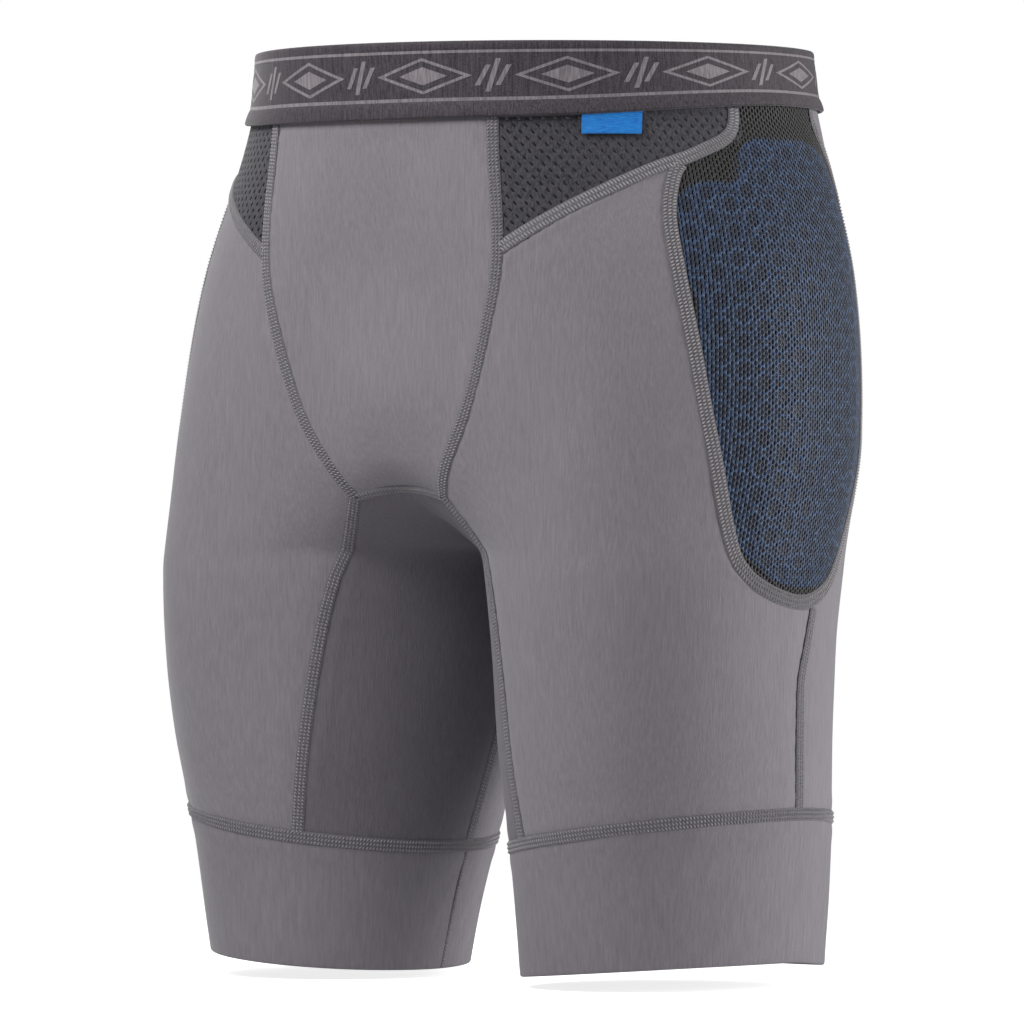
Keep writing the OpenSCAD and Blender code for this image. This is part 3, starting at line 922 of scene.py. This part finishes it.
def build_insert_nets(made):
    i, j = np.meshgrid(np.arange(-22, 22), np.arange(-34, 3))
    wide, tall = INSERT_STEP
    shift = j * INSERT_SHIFT
    shift = shift - np.round(shift / wide) * wide
    centres = both(i * wide + shift, j * tall + PANEL_TOP).reshape(-1, 2)
    level = centres[:, 1]
    phi = INSERT_MAP.angle(centres[:, 0], level)
    keep = (level < PANEL_TOP + UNDER_BAND + band_rise(phi)) & (level > lower_insert_level(phi) - 2.6)
    keep &= (phi > curve(POUCH_EDGE, level) - 1.2) & (phi < INSERT_END + 1)
    half_w, half_h = wide / 2, tall / 2
    jog = INSERT_SHIFT - half_w
    half = np.array([[half_w, 0], [half_w, half_h], [jog, half_h], [0, half_h], [-half_w, half_h]])
    corners = np.concatenate([half, -half])
    around = np.arctan2(corners[:, 1], corners[:, 0]) - INSERT_SLANT
    x, y = INSERT_HOLE[0] * np.cos(around), INSERT_HOLE[1] * np.sin(around)
    c, s = math.cos(INSERT_SLANT), math.sin(INSERT_SLANT)
    rims = both(x * c - y * s, x * s + y * c)

    def place(flat, lift):
        return on_body(INSERT_MAP.angle(flat[:, 0], flat[:, 1]), flat[:, 1], lift)

    points, faces, _ = net(place, centres[keep], corners, rims, MESH_T, INSERT_BEVEL)
    add_pair(made, "insert_net_", "mesh_insert_", points, faces, "insert_mesh", "", (130, 70, 5200),
             crease=60)


def lower_insert_level(phi):
    """Level of the mesh insert's lower edge at an angle."""
    edge = insert_edge(np.linspace(0, 1, 200))
    return np.interp(phi, edge[:, 0], edge[:, 1])


# ---- pads and linings


def dome(outline, place, top, thick, rings=72):
    """Points and faces of a foam pad over a star-shaped outline, with how raised each point is, plus a
    painted highlight on the rim.
    """
    centre = outline.mean(axis=0)
    spokes = len(outline)

    def spread(shares):
        return (centre + shares[:, None, None] * (outline - centre)).reshape(-1, 2)

    shares = np.linspace(0.02, 1, rings)
    flat = spread(shares)
    edge = (1 - np.repeat(shares, spokes)) * np.tile(np.linalg.norm(outline - centre, axis=1), rings)
    drop = PAD_EDGE * (1 - np.sqrt(1 - (1 - clamp01(edge / PAD_EDGE)) ** 2))
    raised = cell_ring(flat) * clamp01((edge - 1.5) / 2)
    upper = place(flat, top - drop - 1.1 * (1 - raised) * clamp01(edge / 4))
    # A painted highlight along the rim, where the rounded edge is lit; the foam's colour doesn't change
    # there.
    raised = np.maximum(raised, clamp01((3.2 - edge) / 0.8))
    low_lift = np.repeat([1.5, 0.0, 0.0, 0.0, 0.0], spokes) + top - thick
    lower = place(spread(np.array([1.0, 0.97, 0.8, 0.5, 0.02])), low_lift)
    points = np.concatenate([upper, lower])
    faces = loft(points.reshape(rings + 5, spokes, 3), False)
    return points, faces, {"raised": np.concatenate([raised, np.zeros(len(lower))])}


def lining_depth(u, v, width, height, reach, cover, pad):
    """Depth of a lining, which lies under its cover at the edges and a reach further in behind the pad."""
    edge = np.minimum(to_edge(u) * width, to_edge(v) * height)
    return mix(cover + LAYER_GAP, cover + 2 * LAYER_GAP + pad, clamp01(edge / reach) ** 0.7)


def build_hip_pads(made):
    # raised also carries the foam's painted highlight and painted shade.
    points, faces, raised = dome(pad_outline(), place_on_hip, -MESH_T - LAYER_GAP * 0.6, HIP_PAD_T)
    add_pair(made, "hip_foam_", "hip_pad_", points, faces, "pad", values=raised, crease=60)

    def place(u, v, lift):
        level = mix(PANEL_TOP - 1, HIP_LOW + 1.5, ease(v))
        level = under_band(both(mix(-10, 22, u), level))[..., 1]
        phi = mix(curve(HIP_FRONT, level) + 0.8, curve(HIP_BACK, level) - 0.8, u)
        depth = lining_depth(u, ease(v), 150, 240, 12, MESH_T, HIP_PAD_T)
        return on_body(phi, level, lift - depth + hip_crown(phi, level))

    points, faces = skin(place, 60, 90, MESH_T)
    add_pair(made, "hip_backing_", "hip_lining_", points, faces, "lining", flat=(165, 245, 32500))


def tail_place(flat, lift):
    """Points on the back, at signed distances from the centre plane and levels."""
    x, level = flat[..., 0], flat[..., 1]
    return flipped(on_body(back_angle(np.abs(x), level), level, lift), x < 0)


def tail_outline(margin, count=240):
    """The tailbone pocket's outline drawn in by a margin, as distances from the centre and levels."""
    v = ease(np.linspace(0, 1, 24))
    z = mix(TAIL_TOP - margin, TAIL_TOP - TAIL_H + margin, v)
    w = np.maximum(3, tail_width(v) - margin)
    across = np.linspace(-1, 1, 14)[1:-1]
    low, top = both(across[::-1] * w[-1], z[-1]), both(across * w[0], z[0])
    return closed_spline(np.concatenate([both(w, z), low, both(-w, z)[::-1], top]), count)


def build_tail(made):
    # raised also carries the foam's painted highlight and painted shade.
    points, faces, raised = dome(tail_outline(7), tail_place, -FABRIC_T - LAYER_GAP, TAIL_PAD_T, 50)
    pad = add_piece("tail_foam", points, faces, [made["pad"]], 1, None, raised, 60)
    attach(pad, "trunk", "pad", "tail_pad")

    def place(u, v, lift):
        x = (2 * u - 1) * np.maximum(4, tail_width(v) - 2)
        flat = both(x, mix(TAIL_TOP - 2, TAIL_TOP - TAIL_H + 2, v))
        return tail_place(flat, lift - lining_depth(u, v, 100, 115, 9, FABRIC_T, TAIL_PAD_T))

    points, faces = skin(place, 50, 60, MESH_T)
    backing = add_piece("tail_backing", points, faces, [made["lining"]])
    attach(backing, "trunk", "lining", "tail_lining")


# ---- seams

# Lengths along a seam of one stitch and one step of its band, and the radius of its thread.
STITCH = 1.75
SEAM_STEP = 1.6
THREAD_R = 0.42


class Line:
    """A seam's line on the body, read at distances along it."""

    def __init__(self, points, normals):
        self.along = length_along(points)
        self.length = self.along[-1]
        self.points, self.normals = points, normals
        self.across = unit(np.cross(unit(np.gradient(points, self.along, axis=0)), normals))

    def read(self, table, s):
        """A table's values at distances s along the line."""
        return np.stack([np.interp(s, self.along, table[:, k]) for k in range(3)], -1)

    def at(self, s, x, lift):
        """Points at distances s along, x across and lift above the line."""
        s, x, lift = np.broadcast_arrays(s, x, lift)
        middle, across, up = (self.read(table, s) for table in (self.points, self.across, self.normals))
        return middle + across * x[..., None] + up * lift[..., None]


def body_line(q, flips=1):
    """Line over places on the body. flips is -1 where a place is on the right."""
    points, normals = body_point(q[:, 0], q[:, 1]), body_normal(q[:, 0], q[:, 1])
    points[:, 0] *= flips
    normals[:, 0] *= flips
    return Line(points, normals)


def band_height(x, width, height):
    """Height of a seam band's upper face at a distance across from its middle."""
    return 0.35 + height * (1 - (2 * x / width) ** 4)


def seam_piece(name, line, width, rows, made, side=1, thread="thread", height=0.4):
    """A flat seam: a band of cloth under rows of slanted threads."""
    samples = np.linspace(0, line.length, max(4, int(line.length / SEAM_STEP)))
    x = np.linspace(-width / 2, width / 2, 9)
    section = np.concatenate([both(x, band_height(x, width, height)), both(x[::-1], -0.05)])
    rings = line.at(samples[:, None], section[None, :, 0], section[None, :, 1])
    count = max(2, int(line.length / STITCH))
    pitch = line.length / count
    s = (np.arange(count) + 0.5) * pitch
    row_width = (width - 0.5) / rows
    ends = {-1: [], 1: []}
    for middle in (np.arange(rows) + 0.5 - rows / 2) * row_width:
        for turn in ends:
            place = middle + turn * (row_width / 2 - 0.3)
            lift = band_height(place, width, height) + THREAD_R * 0.4
            ends[turn].append(line.at(s + turn * 0.22 * pitch, place, lift))
    ups = np.tile(line.read(line.normals, s), (rows, 1))
    threads, walls = thread_pieces(np.concatenate(ends[-1]), np.concatenate(ends[1]), ups, THREAD_R)
    points = np.concatenate([rings.reshape(-1, 3), threads])
    faces = loft(rings, False) + [walls + rings.shape[0] * rings.shape[1]]
    return add_piece(name, points, faces, [made["seam_base"], made[thread]], side, [0, 0, 1], crease=70)


def along_table(table, top, bottom, count=240):
    return body_line(at_levels(table, np.linspace(top, bottom, count)))


def smooth_path(q, reach):
    """Even places along a path of angles and levels, each averaged over a reach in millimetres."""
    along = length_along(body_point(q[:, 0], q[:, 1]))
    even = np.arange(0, along[-1], 1.0)
    path = both(np.interp(even, along, q[:, 0]), np.interp(even, along, q[:, 1]))
    padded = np.concatenate([2 * path[0] - path[reach:0:-1], path, 2 * path[-1] - path[-2:-reach - 2:-1]])
    window = np.ones(2 * reach + 1) / (2 * reach + 1)
    return np.stack([np.convolve(padded[:, k], window, mode="valid") for k in (0, 1)], -1)


def insert_seam_line():
    """The mesh insert's lower seam, which turns up the front of the hip pocket to the waistband."""
    slope = insert_edge(np.linspace(0.015, INSERT_SPLIT - 0.05, 200))
    rise = at_levels(HIP_FRONT, np.linspace(HIP_TOP + 2.5, PANEL_TOP + 7, 100), -1)
    return body_line(smooth_path(np.concatenate([slope, rise]), 5))


def hip_seam_line():
    """The hip pocket's front and back seams, which meet under it."""
    t = ease(np.linspace(0, 1, 400))
    front = at_levels(HIP_FRONT, mix(HIP_TOP - 1, HIP_LOW, t))
    rear = at_levels(HIP_BACK, mix(HIP_LOW, PANEL_TOP + 10, t))
    across = np.linspace(curve(HIP_FRONT, HIP_LOW), curve(HIP_BACK, HIP_LOW), 30)[1:-1]
    return body_line(smooth_path(np.concatenate([front, both(across, HIP_LOW), rear]), 4))


def build_seams(made):
    leg = CUFF_LEVEL + 2
    pouch = along_table(POUCH_EDGE, PANEL_TOP + 3, POUCH_CORNER)
    flank = along_table(SIDE_EDGE, HIP_LOW - 3, leg, 200)
    ring = body_line(both(np.linspace(-187, 173, 500), CUFF_LEVEL))
    join = along_table(INSEAM_EDGE, CUFF_LEVEL - 3, HEM_LEVEL + 1)
    # Name, CAD node, end of the body's name, line, width, rows of thread, and any other look.
    seams = [
        ("pouch", "pouch_seam_", "", pouch, SEAM_W, 3),
        ("insert", "insert_seam_", "", insert_seam_line(), SEAM_W + 0.4, 2, "thread_light"),
        ("hip", "hip_seam_", "_hip", hip_seam_line(), SEAM_W + 1.2, 3, "thread_light"),
        ("side", "side_seam_", "_hip", flank, SEAM_W, 3),
        ("gusset", "gusset_seam_", "_hip", along_table(GUSSET_EDGE, POUCH_CORNER, leg), SEAM_W, 3),
        ("inseam", "inseam_", "_hip", along_table(INSEAM_EDGE, CROTCH - 4, leg), SEAM_W, 3),
        ("cuff", "cuff_seam_", "_leg", ring, SEAM_W + 0.2, 3),
        ("cuff_join", "cuff_join_", "_leg", join, 2.2, 2, "thread", 0.3),
    ]
    for name, side in SIDES.items():
        for kind, node, body, line, width, rows, *look in seams:
            piece = seam_piece(kind + "_stitching_" + name, line, width, rows, made, side, *look)
            attach(piece, name + body if body else "trunk", "thread", node + name)
    build_centre_seams(made)


def build_centre_seams(made):
    u = np.linspace(-1, 1, 160)
    z = pouch_level(np.abs(u))
    phi = mix(-centre_angle(z), curve(POUCH_EDGE, z) - 1.0, np.abs(u))
    arch = body_line(both(phi, z), np.where(u < 0, -1, 1))
    attach(seam_piece("pouch_stitching_bottom", arch, 4.8, 2, made), "trunk", "thread", "pouch_seam_bottom")

    z = np.linspace(PANEL_TOP + 10, CROTCH + 6, 240)
    points = body_point(centre_angle(z), z)
    points[:, 0] = 0
    normals = unit(np.stack([0 * z, -np.gradient(points[:, 2], z), np.gradient(points[:, 1], z)], -1))
    normals = normals * np.where(normals[:, 1] < 0, -1, 1)[:, None]
    seat = seam_piece("seat_stitching", Line(points, normals), SEAM_W, 3, made, height=0.7)
    attach(seat, "trunk", "thread", "seat_seam")

    outline = tail_outline(0, 420)
    x, level = np.concatenate([outline, outline[:2]]).T
    pocket = body_line(both(back_angle(np.abs(x), level), level), np.where(x < 0, -1, 1))
    attach(seam_piece("tail_stitching", pocket, 3.6, 2, made), "trunk", "thread", "tail_seam")


# ---- waistband, cuffs and tab

# Level of the waistband's lower edge before its rise, and the columns round its mesh.
BAND_LOW = -39.9
BAND_COLUMNS = 560

# Woven figures, in millimetres: how many repeats go round, the level of their middle, their half
# height, a lozenge's half width, and the heights of a figure's face and underside over the band.
FIGURES = 12
FIGURE_LEVEL = -18.0
FIGURE_HALF = 8.6
LOZENGE_HALF = 24.0
FACE, UNDERSIDE = 0.12, -0.2

# Slanted bars between the lozenges: their half width, their lean, and the place and size of each.
BAR_HALF = 1.3
BAR_LEAN = 3
BARS = [(-5.2, 0.62), (0, 1), (5.2, 0.62)]


def round_waist(u, level, lift):
    """Point round the whole waist, starting at the centre front."""
    u = u % 1.0
    t = np.where(u < 0.5, 2 * u, 2 - 2 * u)
    a = centre_angle(level)
    phi = mix(-a, a, t)
    return flipped(on_body(phi, level * (1 + band_rise(phi) / BAND_LOW), lift), u >= 0.5)


def band_lift(level):
    """Height of the waistband's outer face over the body."""
    flare = clamp01((-31.2 - level) / 7.6)
    lip = 0.25 * clamp01((level + 4.6) / 0.8) + 0.2 * clamp01((-31.2 - level) / 0.6)
    return 1.75 + lip + 1.3 * (1 - (1 - flare) ** 1.8)


def band_section():
    """The waistband's cross section, as levels and lifts, from its top edge down its face."""
    face = np.concatenate([[-0.15, -0.5, -1.1], np.linspace(-1.8, -31, 44), np.linspace(-31.4, -38.9, 18)])
    lifts = band_lift(face)
    lifts[:3] = [0.9, 1.55, 1.9]
    hem = [[-39.4, 3.0], [-39.8, 2.6], [-39.9, 1.9], [-39.6, 1.2], [-38.6, 0.85], [-37.8, 0.2]]
    rim = [[-0.3, -0.1], [-0.05, 0.4]]
    return np.concatenate([both(face, lifts), hem, both(np.linspace(-36, -1, 12), -0.45), rim])


def loop_strip(corners, width, steps=2.0):
    """Outer and inner loops of a closed outline with mitred corners, cut into short steps."""
    p = np.asarray(corners, float)
    before, after = unit(p - np.roll(p, 1, axis=0)), unit(np.roll(p, -1, axis=0) - p)
    normal = unit(both(-(before + after)[:, 1], (before + after)[:, 0]))
    stretch = 1 / np.maximum(0.3, (normal * both(-after[:, 1], after[:, 0])).sum(axis=1))
    loops = np.stack([p + normal * (stretch * w)[:, None] for w in (width / 2, -width / 2)], axis=1)
    cut = []
    for start, end, a, b in zip(p, np.roll(p, -1, axis=0), loops, np.roll(loops, -1, axis=0)):
        n = max(1, int(np.linalg.norm(end - start) / steps))
        cut.append(mix(a, b, (np.arange(n) / n)[:, None, None]))
    return np.concatenate(cut)


def build_waistband(made):
    u = np.arange(BAND_COLUMNS)[:, None] / BAND_COLUMNS
    level, lift = band_section().T
    rings = round_waist(u, level[None], lift[None])
    band = add_piece("elastic_band", rings, loft(rings, True), [made["elastic"]])
    attach(band, "trunk", "elastic", "waistband")

    for name, top, bottom in (("band_stripe_upper", -4.9, -6.4), ("band_stripe_lower", -29.4, -31.2)):
        level = np.array([[top, bottom, bottom, top]])
        rings = round_waist(u, level, band_lift(level) + [0.13, 0.13, UNDERSIDE, UNDERSIDE])
        stripe = add_piece(name, rings, loft(rings, True), [made["elastic_yarn"]])
        attach(stripe, "trunk", "elastic")

    shares = np.linspace(0, 1, 1441)
    lengths = length_along(round_waist(shares, np.full(1441, -19.0), np.full(1441, 1.8)))
    around = lengths[-1]
    points, faces = [], []

    def figure(x, level, closed):
        """Adds a figure from rows of places across its face, as distances round the waist and levels."""
        x, level = (np.concatenate([a, a[:, [-1, 0]]], axis=1) for a in (x, level))
        lift = [FACE] * (x.shape[1] - 2) + [UNDERSIDE] * 2
        level = FIGURE_LEVEL + level
        rings = round_waist(np.interp(x % around, lengths, shares), level, band_lift(level) + lift)
        faces.extend(loft(rings, closed, sum(len(p) for p in points)))
        points.append(rings.reshape(-1, 3))

    strip = loop_strip([[-LOZENGE_HALF, 0], [0, FIGURE_HALF], [LOZENGE_HALF, 0], [0, -FIGURE_HALF]], 1.5)
    x = np.linspace(-1, 1, 15)[:, None] * LOZENGE_HALF * 0.55
    tall = FIGURE_HALF * 0.55 * (1 - np.abs(x) / (LOZENGE_HALF * 0.552))
    v = np.linspace(-1, 1, 10)[:, None]
    for k in range(FIGURES):
        centre = (k + 0.5) * around / FIGURES
        figure(centre + strip[..., 0], strip[..., 1], True)
        figure(centre + x + [0, 0, 0], tall * [-1, 0, 1], False)
        for place, size in BARS:
            start = centre + around / FIGURES / 2 + place
            figure(start + v * BAR_LEAN + [-BAR_HALF, BAR_HALF], v * [1, 1] * FIGURE_HALF * size, False)
    figures = add_piece("band_figures", np.concatenate(points), faces, [made["elastic_yarn"]])
    attach(figures, "trunk", "elastic")


def folded(top, low, face, rear, down, round_it, up):
    """Cross section of a strip folded at its lower end, as levels and lifts, with so many points each."""
    turns = np.radians(np.linspace(0, 180, round_it)[1:-1])
    radius = (face - rear) / 2
    bend = both(low - radius * np.sin(turns), rear + radius + radius * np.cos(turns))
    outer, inner = both(np.linspace(top, low, down), face), both(np.linspace(low, top, up), rear)
    return np.concatenate([outer, bend, inner])


def build_cuffs(made):
    top, low, face = CUFF_LEVEL - 0.8, HEM_LEVEL + 1.3, 0.2
    level, lift = folded(top, low, face, face - CUFF_T, 40, 9, 12).T
    phi = np.arange(220)[:, None] * 360 / 220 - 180
    below = CUFF_LEVEL - level
    puff = 0.35 * np.exp(-(((below - 7) / 4) ** 2)) - 0.3 * np.exp(-((below / 3) ** 2))
    rings = on_body(phi, level[None], lift + unevenness(body_point(phi, level[None])) + puff)
    add_pair(made, "cuff_band_", "cuff_", rings, loft(rings, True), "cuff", "_leg")


def tab_points(top, low, face, rear):
    """Rings of the label tab's cross section, folded over at its lower end."""
    level, lift = folded(top, low, face, rear, 14, 8, 14).T
    u = np.linspace(-1, 1, 40)[:, None]
    sag = 0.25 * np.cos(u * np.pi / 2) * clamp01((TAB_ROOT - level) / TAB_H)
    angle = TAB_ANGLE + math.degrees(TAB_W / 2 / 142) * u - 0.12 * (TAB_ROOT - level)
    return on_body(angle, level[None], lift + sag)


def build_tab(made):
    """The tab, and the short root of it that is sewn under the waistband and doesn't turn."""
    for name, shape, body, *nodes in (
        ("blank_tab", (TAB_ROOT + 0.3, TAB_ROOT - TAB_H + 2, 2.0, 1.0), "tab", "label_tab"),
        ("tab_root", (TAB_ROOT + 6, TAB_ROOT + 0.2, 1.9, 1.1), "trunk"),
    ):
        rings = tab_points(*shape)
        attach(add_piece(name, rings, loft(rings, False), [made["tab"]]), body, "tab", *nodes)


# ---- stage, light and camera

CAMERA_AZIMUTH = 39.3
CAMERA_DISTANCE = 4.527
CAMERA_ASIDE = -0.0082
CAMERA_HEIGHT = -0.2314
LENS = 315.1
MIDDLE = Vector((0, 0, -0.23))
FLOOR_GLOW = 0.8
ROOM_LIGHT = 0.24


def bearing(azimuth, elevation=0):
    """Direction out from the object, by degrees round from the front and up."""
    a, e = math.radians(azimuth), math.radians(elevation)
    return Vector((math.sin(a) * math.cos(e), -math.cos(a) * math.cos(e), math.sin(e)))


def facing(name, data, place, outward):
    """Camera or light at a place, facing against a direction."""
    made = bpy.data.objects.new(name, data)
    made.location = place
    made.rotation_mode = "QUATERNION"
    made.rotation_quaternion = (-outward).to_track_quat("-Z", "Y")
    bpy.context.scene.collection.objects.link(made)
    return made


def build_camera():
    outward = bearing(CAMERA_AZIMUTH)
    place = outward * CAMERA_DISTANCE + bearing(CAMERA_AZIMUTH + 90) * CAMERA_ASIDE
    data = bpy.data.cameras.new("camera")
    data.lens = LENS
    data.sensor_width = 36
    data.clip_end = 50
    bpy.context.scene.camera = facing("camera", data, place + Vector((0, 0, CAMERA_HEIGHT)), outward)


def area_light(name, azimuth, elevation, distance, size, power):
    """Soft round light that faces the middle of the object, in degrees, metres and watts."""
    out = bearing(azimuth, elevation)
    data = bpy.data.lights.new(name, "AREA")
    data.shape = "DISK"
    data.size = size
    data.energy = power
    facing(name, data, MIDDLE + out * distance, out).visible_camera = False


def build_floor():
    """Pale floor that fades into the white room away from the object."""
    place = (0, 0, FLOOR_LEVEL * MM)
    bpy.ops.mesh.primitive_circle_add(vertices=128, radius=1.6, fill_type="NGON", location=place)
    floor = bpy.context.object
    floor.name = "floor"
    material = bpy.data.materials.new("floor")
    nodes = Nodes(material)
    seen = nodes.add("LightPath").outputs["Is Camera Ray"]
    centre = nodes.add("TexCoord").outputs["Object"]
    reach = nodes.add("VectorMath", {0: centre}, operation="LENGTH").outputs["Value"]
    span = {"From Min": 0.25, "From Max": 1.2, "To Min": 1, "To Max": 0}
    fade = nodes.add("MapRange", {"Value": reach, **span})
    nodes.fill(nodes.tree.nodes["Principled BSDF"], {
        "Base Color": (0.9, 0.9, 0.9, 1), "Roughness": 0.9, "Emission Color": WHITE,
        "Emission Strength": nodes.weighted((seen, FLOOR_GLOW)), "Alpha": fade.outputs["Result"],
    })
    floor.data.materials.append(material)


def build_world():
    """White room that lights the object more weakly than the camera sees it."""
    world = bpy.data.worlds.new("room")
    nodes = Nodes(world)
    nodes.tree.nodes.clear()
    lit, plain = (
        nodes.add("Background", {"Color": WHITE, "Strength": value}).outputs[0] for value in (ROOM_LIGHT, 1)
    )
    seen = nodes.add("LightPath").outputs["Is Camera Ray"]
    chosen = nodes.add("MixShader", {0: seen, 1: lit, 2: plain})
    nodes.add("OutputWorld", {"Surface": chosen.outputs[0]})
    bpy.context.scene.world = world


def build_stage():
    build_camera()
    build_floor()
    build_world()
    area_light("key", -18, 45, 1.15, 0.5, 8.2)
    area_light("fill", 12, 42, 1.2, 0.5, 3.8)
    area_light("rim_right", 124, 8, 2.4, 1.2, 54)
    area_light("rim_left", 245, 20, 2.4, 1.2, 10)
    bpy.context.scene.view_settings.view_transform = "Standard"
    bpy.context.scene.view_settings.look = "None"


# ---- the object

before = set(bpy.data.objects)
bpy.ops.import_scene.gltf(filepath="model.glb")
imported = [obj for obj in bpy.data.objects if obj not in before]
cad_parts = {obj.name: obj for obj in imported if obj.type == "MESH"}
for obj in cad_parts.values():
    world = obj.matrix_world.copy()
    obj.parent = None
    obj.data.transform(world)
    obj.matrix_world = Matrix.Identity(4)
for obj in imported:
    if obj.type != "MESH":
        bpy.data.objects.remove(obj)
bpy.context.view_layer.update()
materials = make_materials()
build_stage()
for build in (
    build_panels, build_pouch, build_insert_nets, build_hip_nets, build_hip_pads, build_tail,
    build_waistband, build_cuffs, build_tab, build_seams,
):
    build(materials)
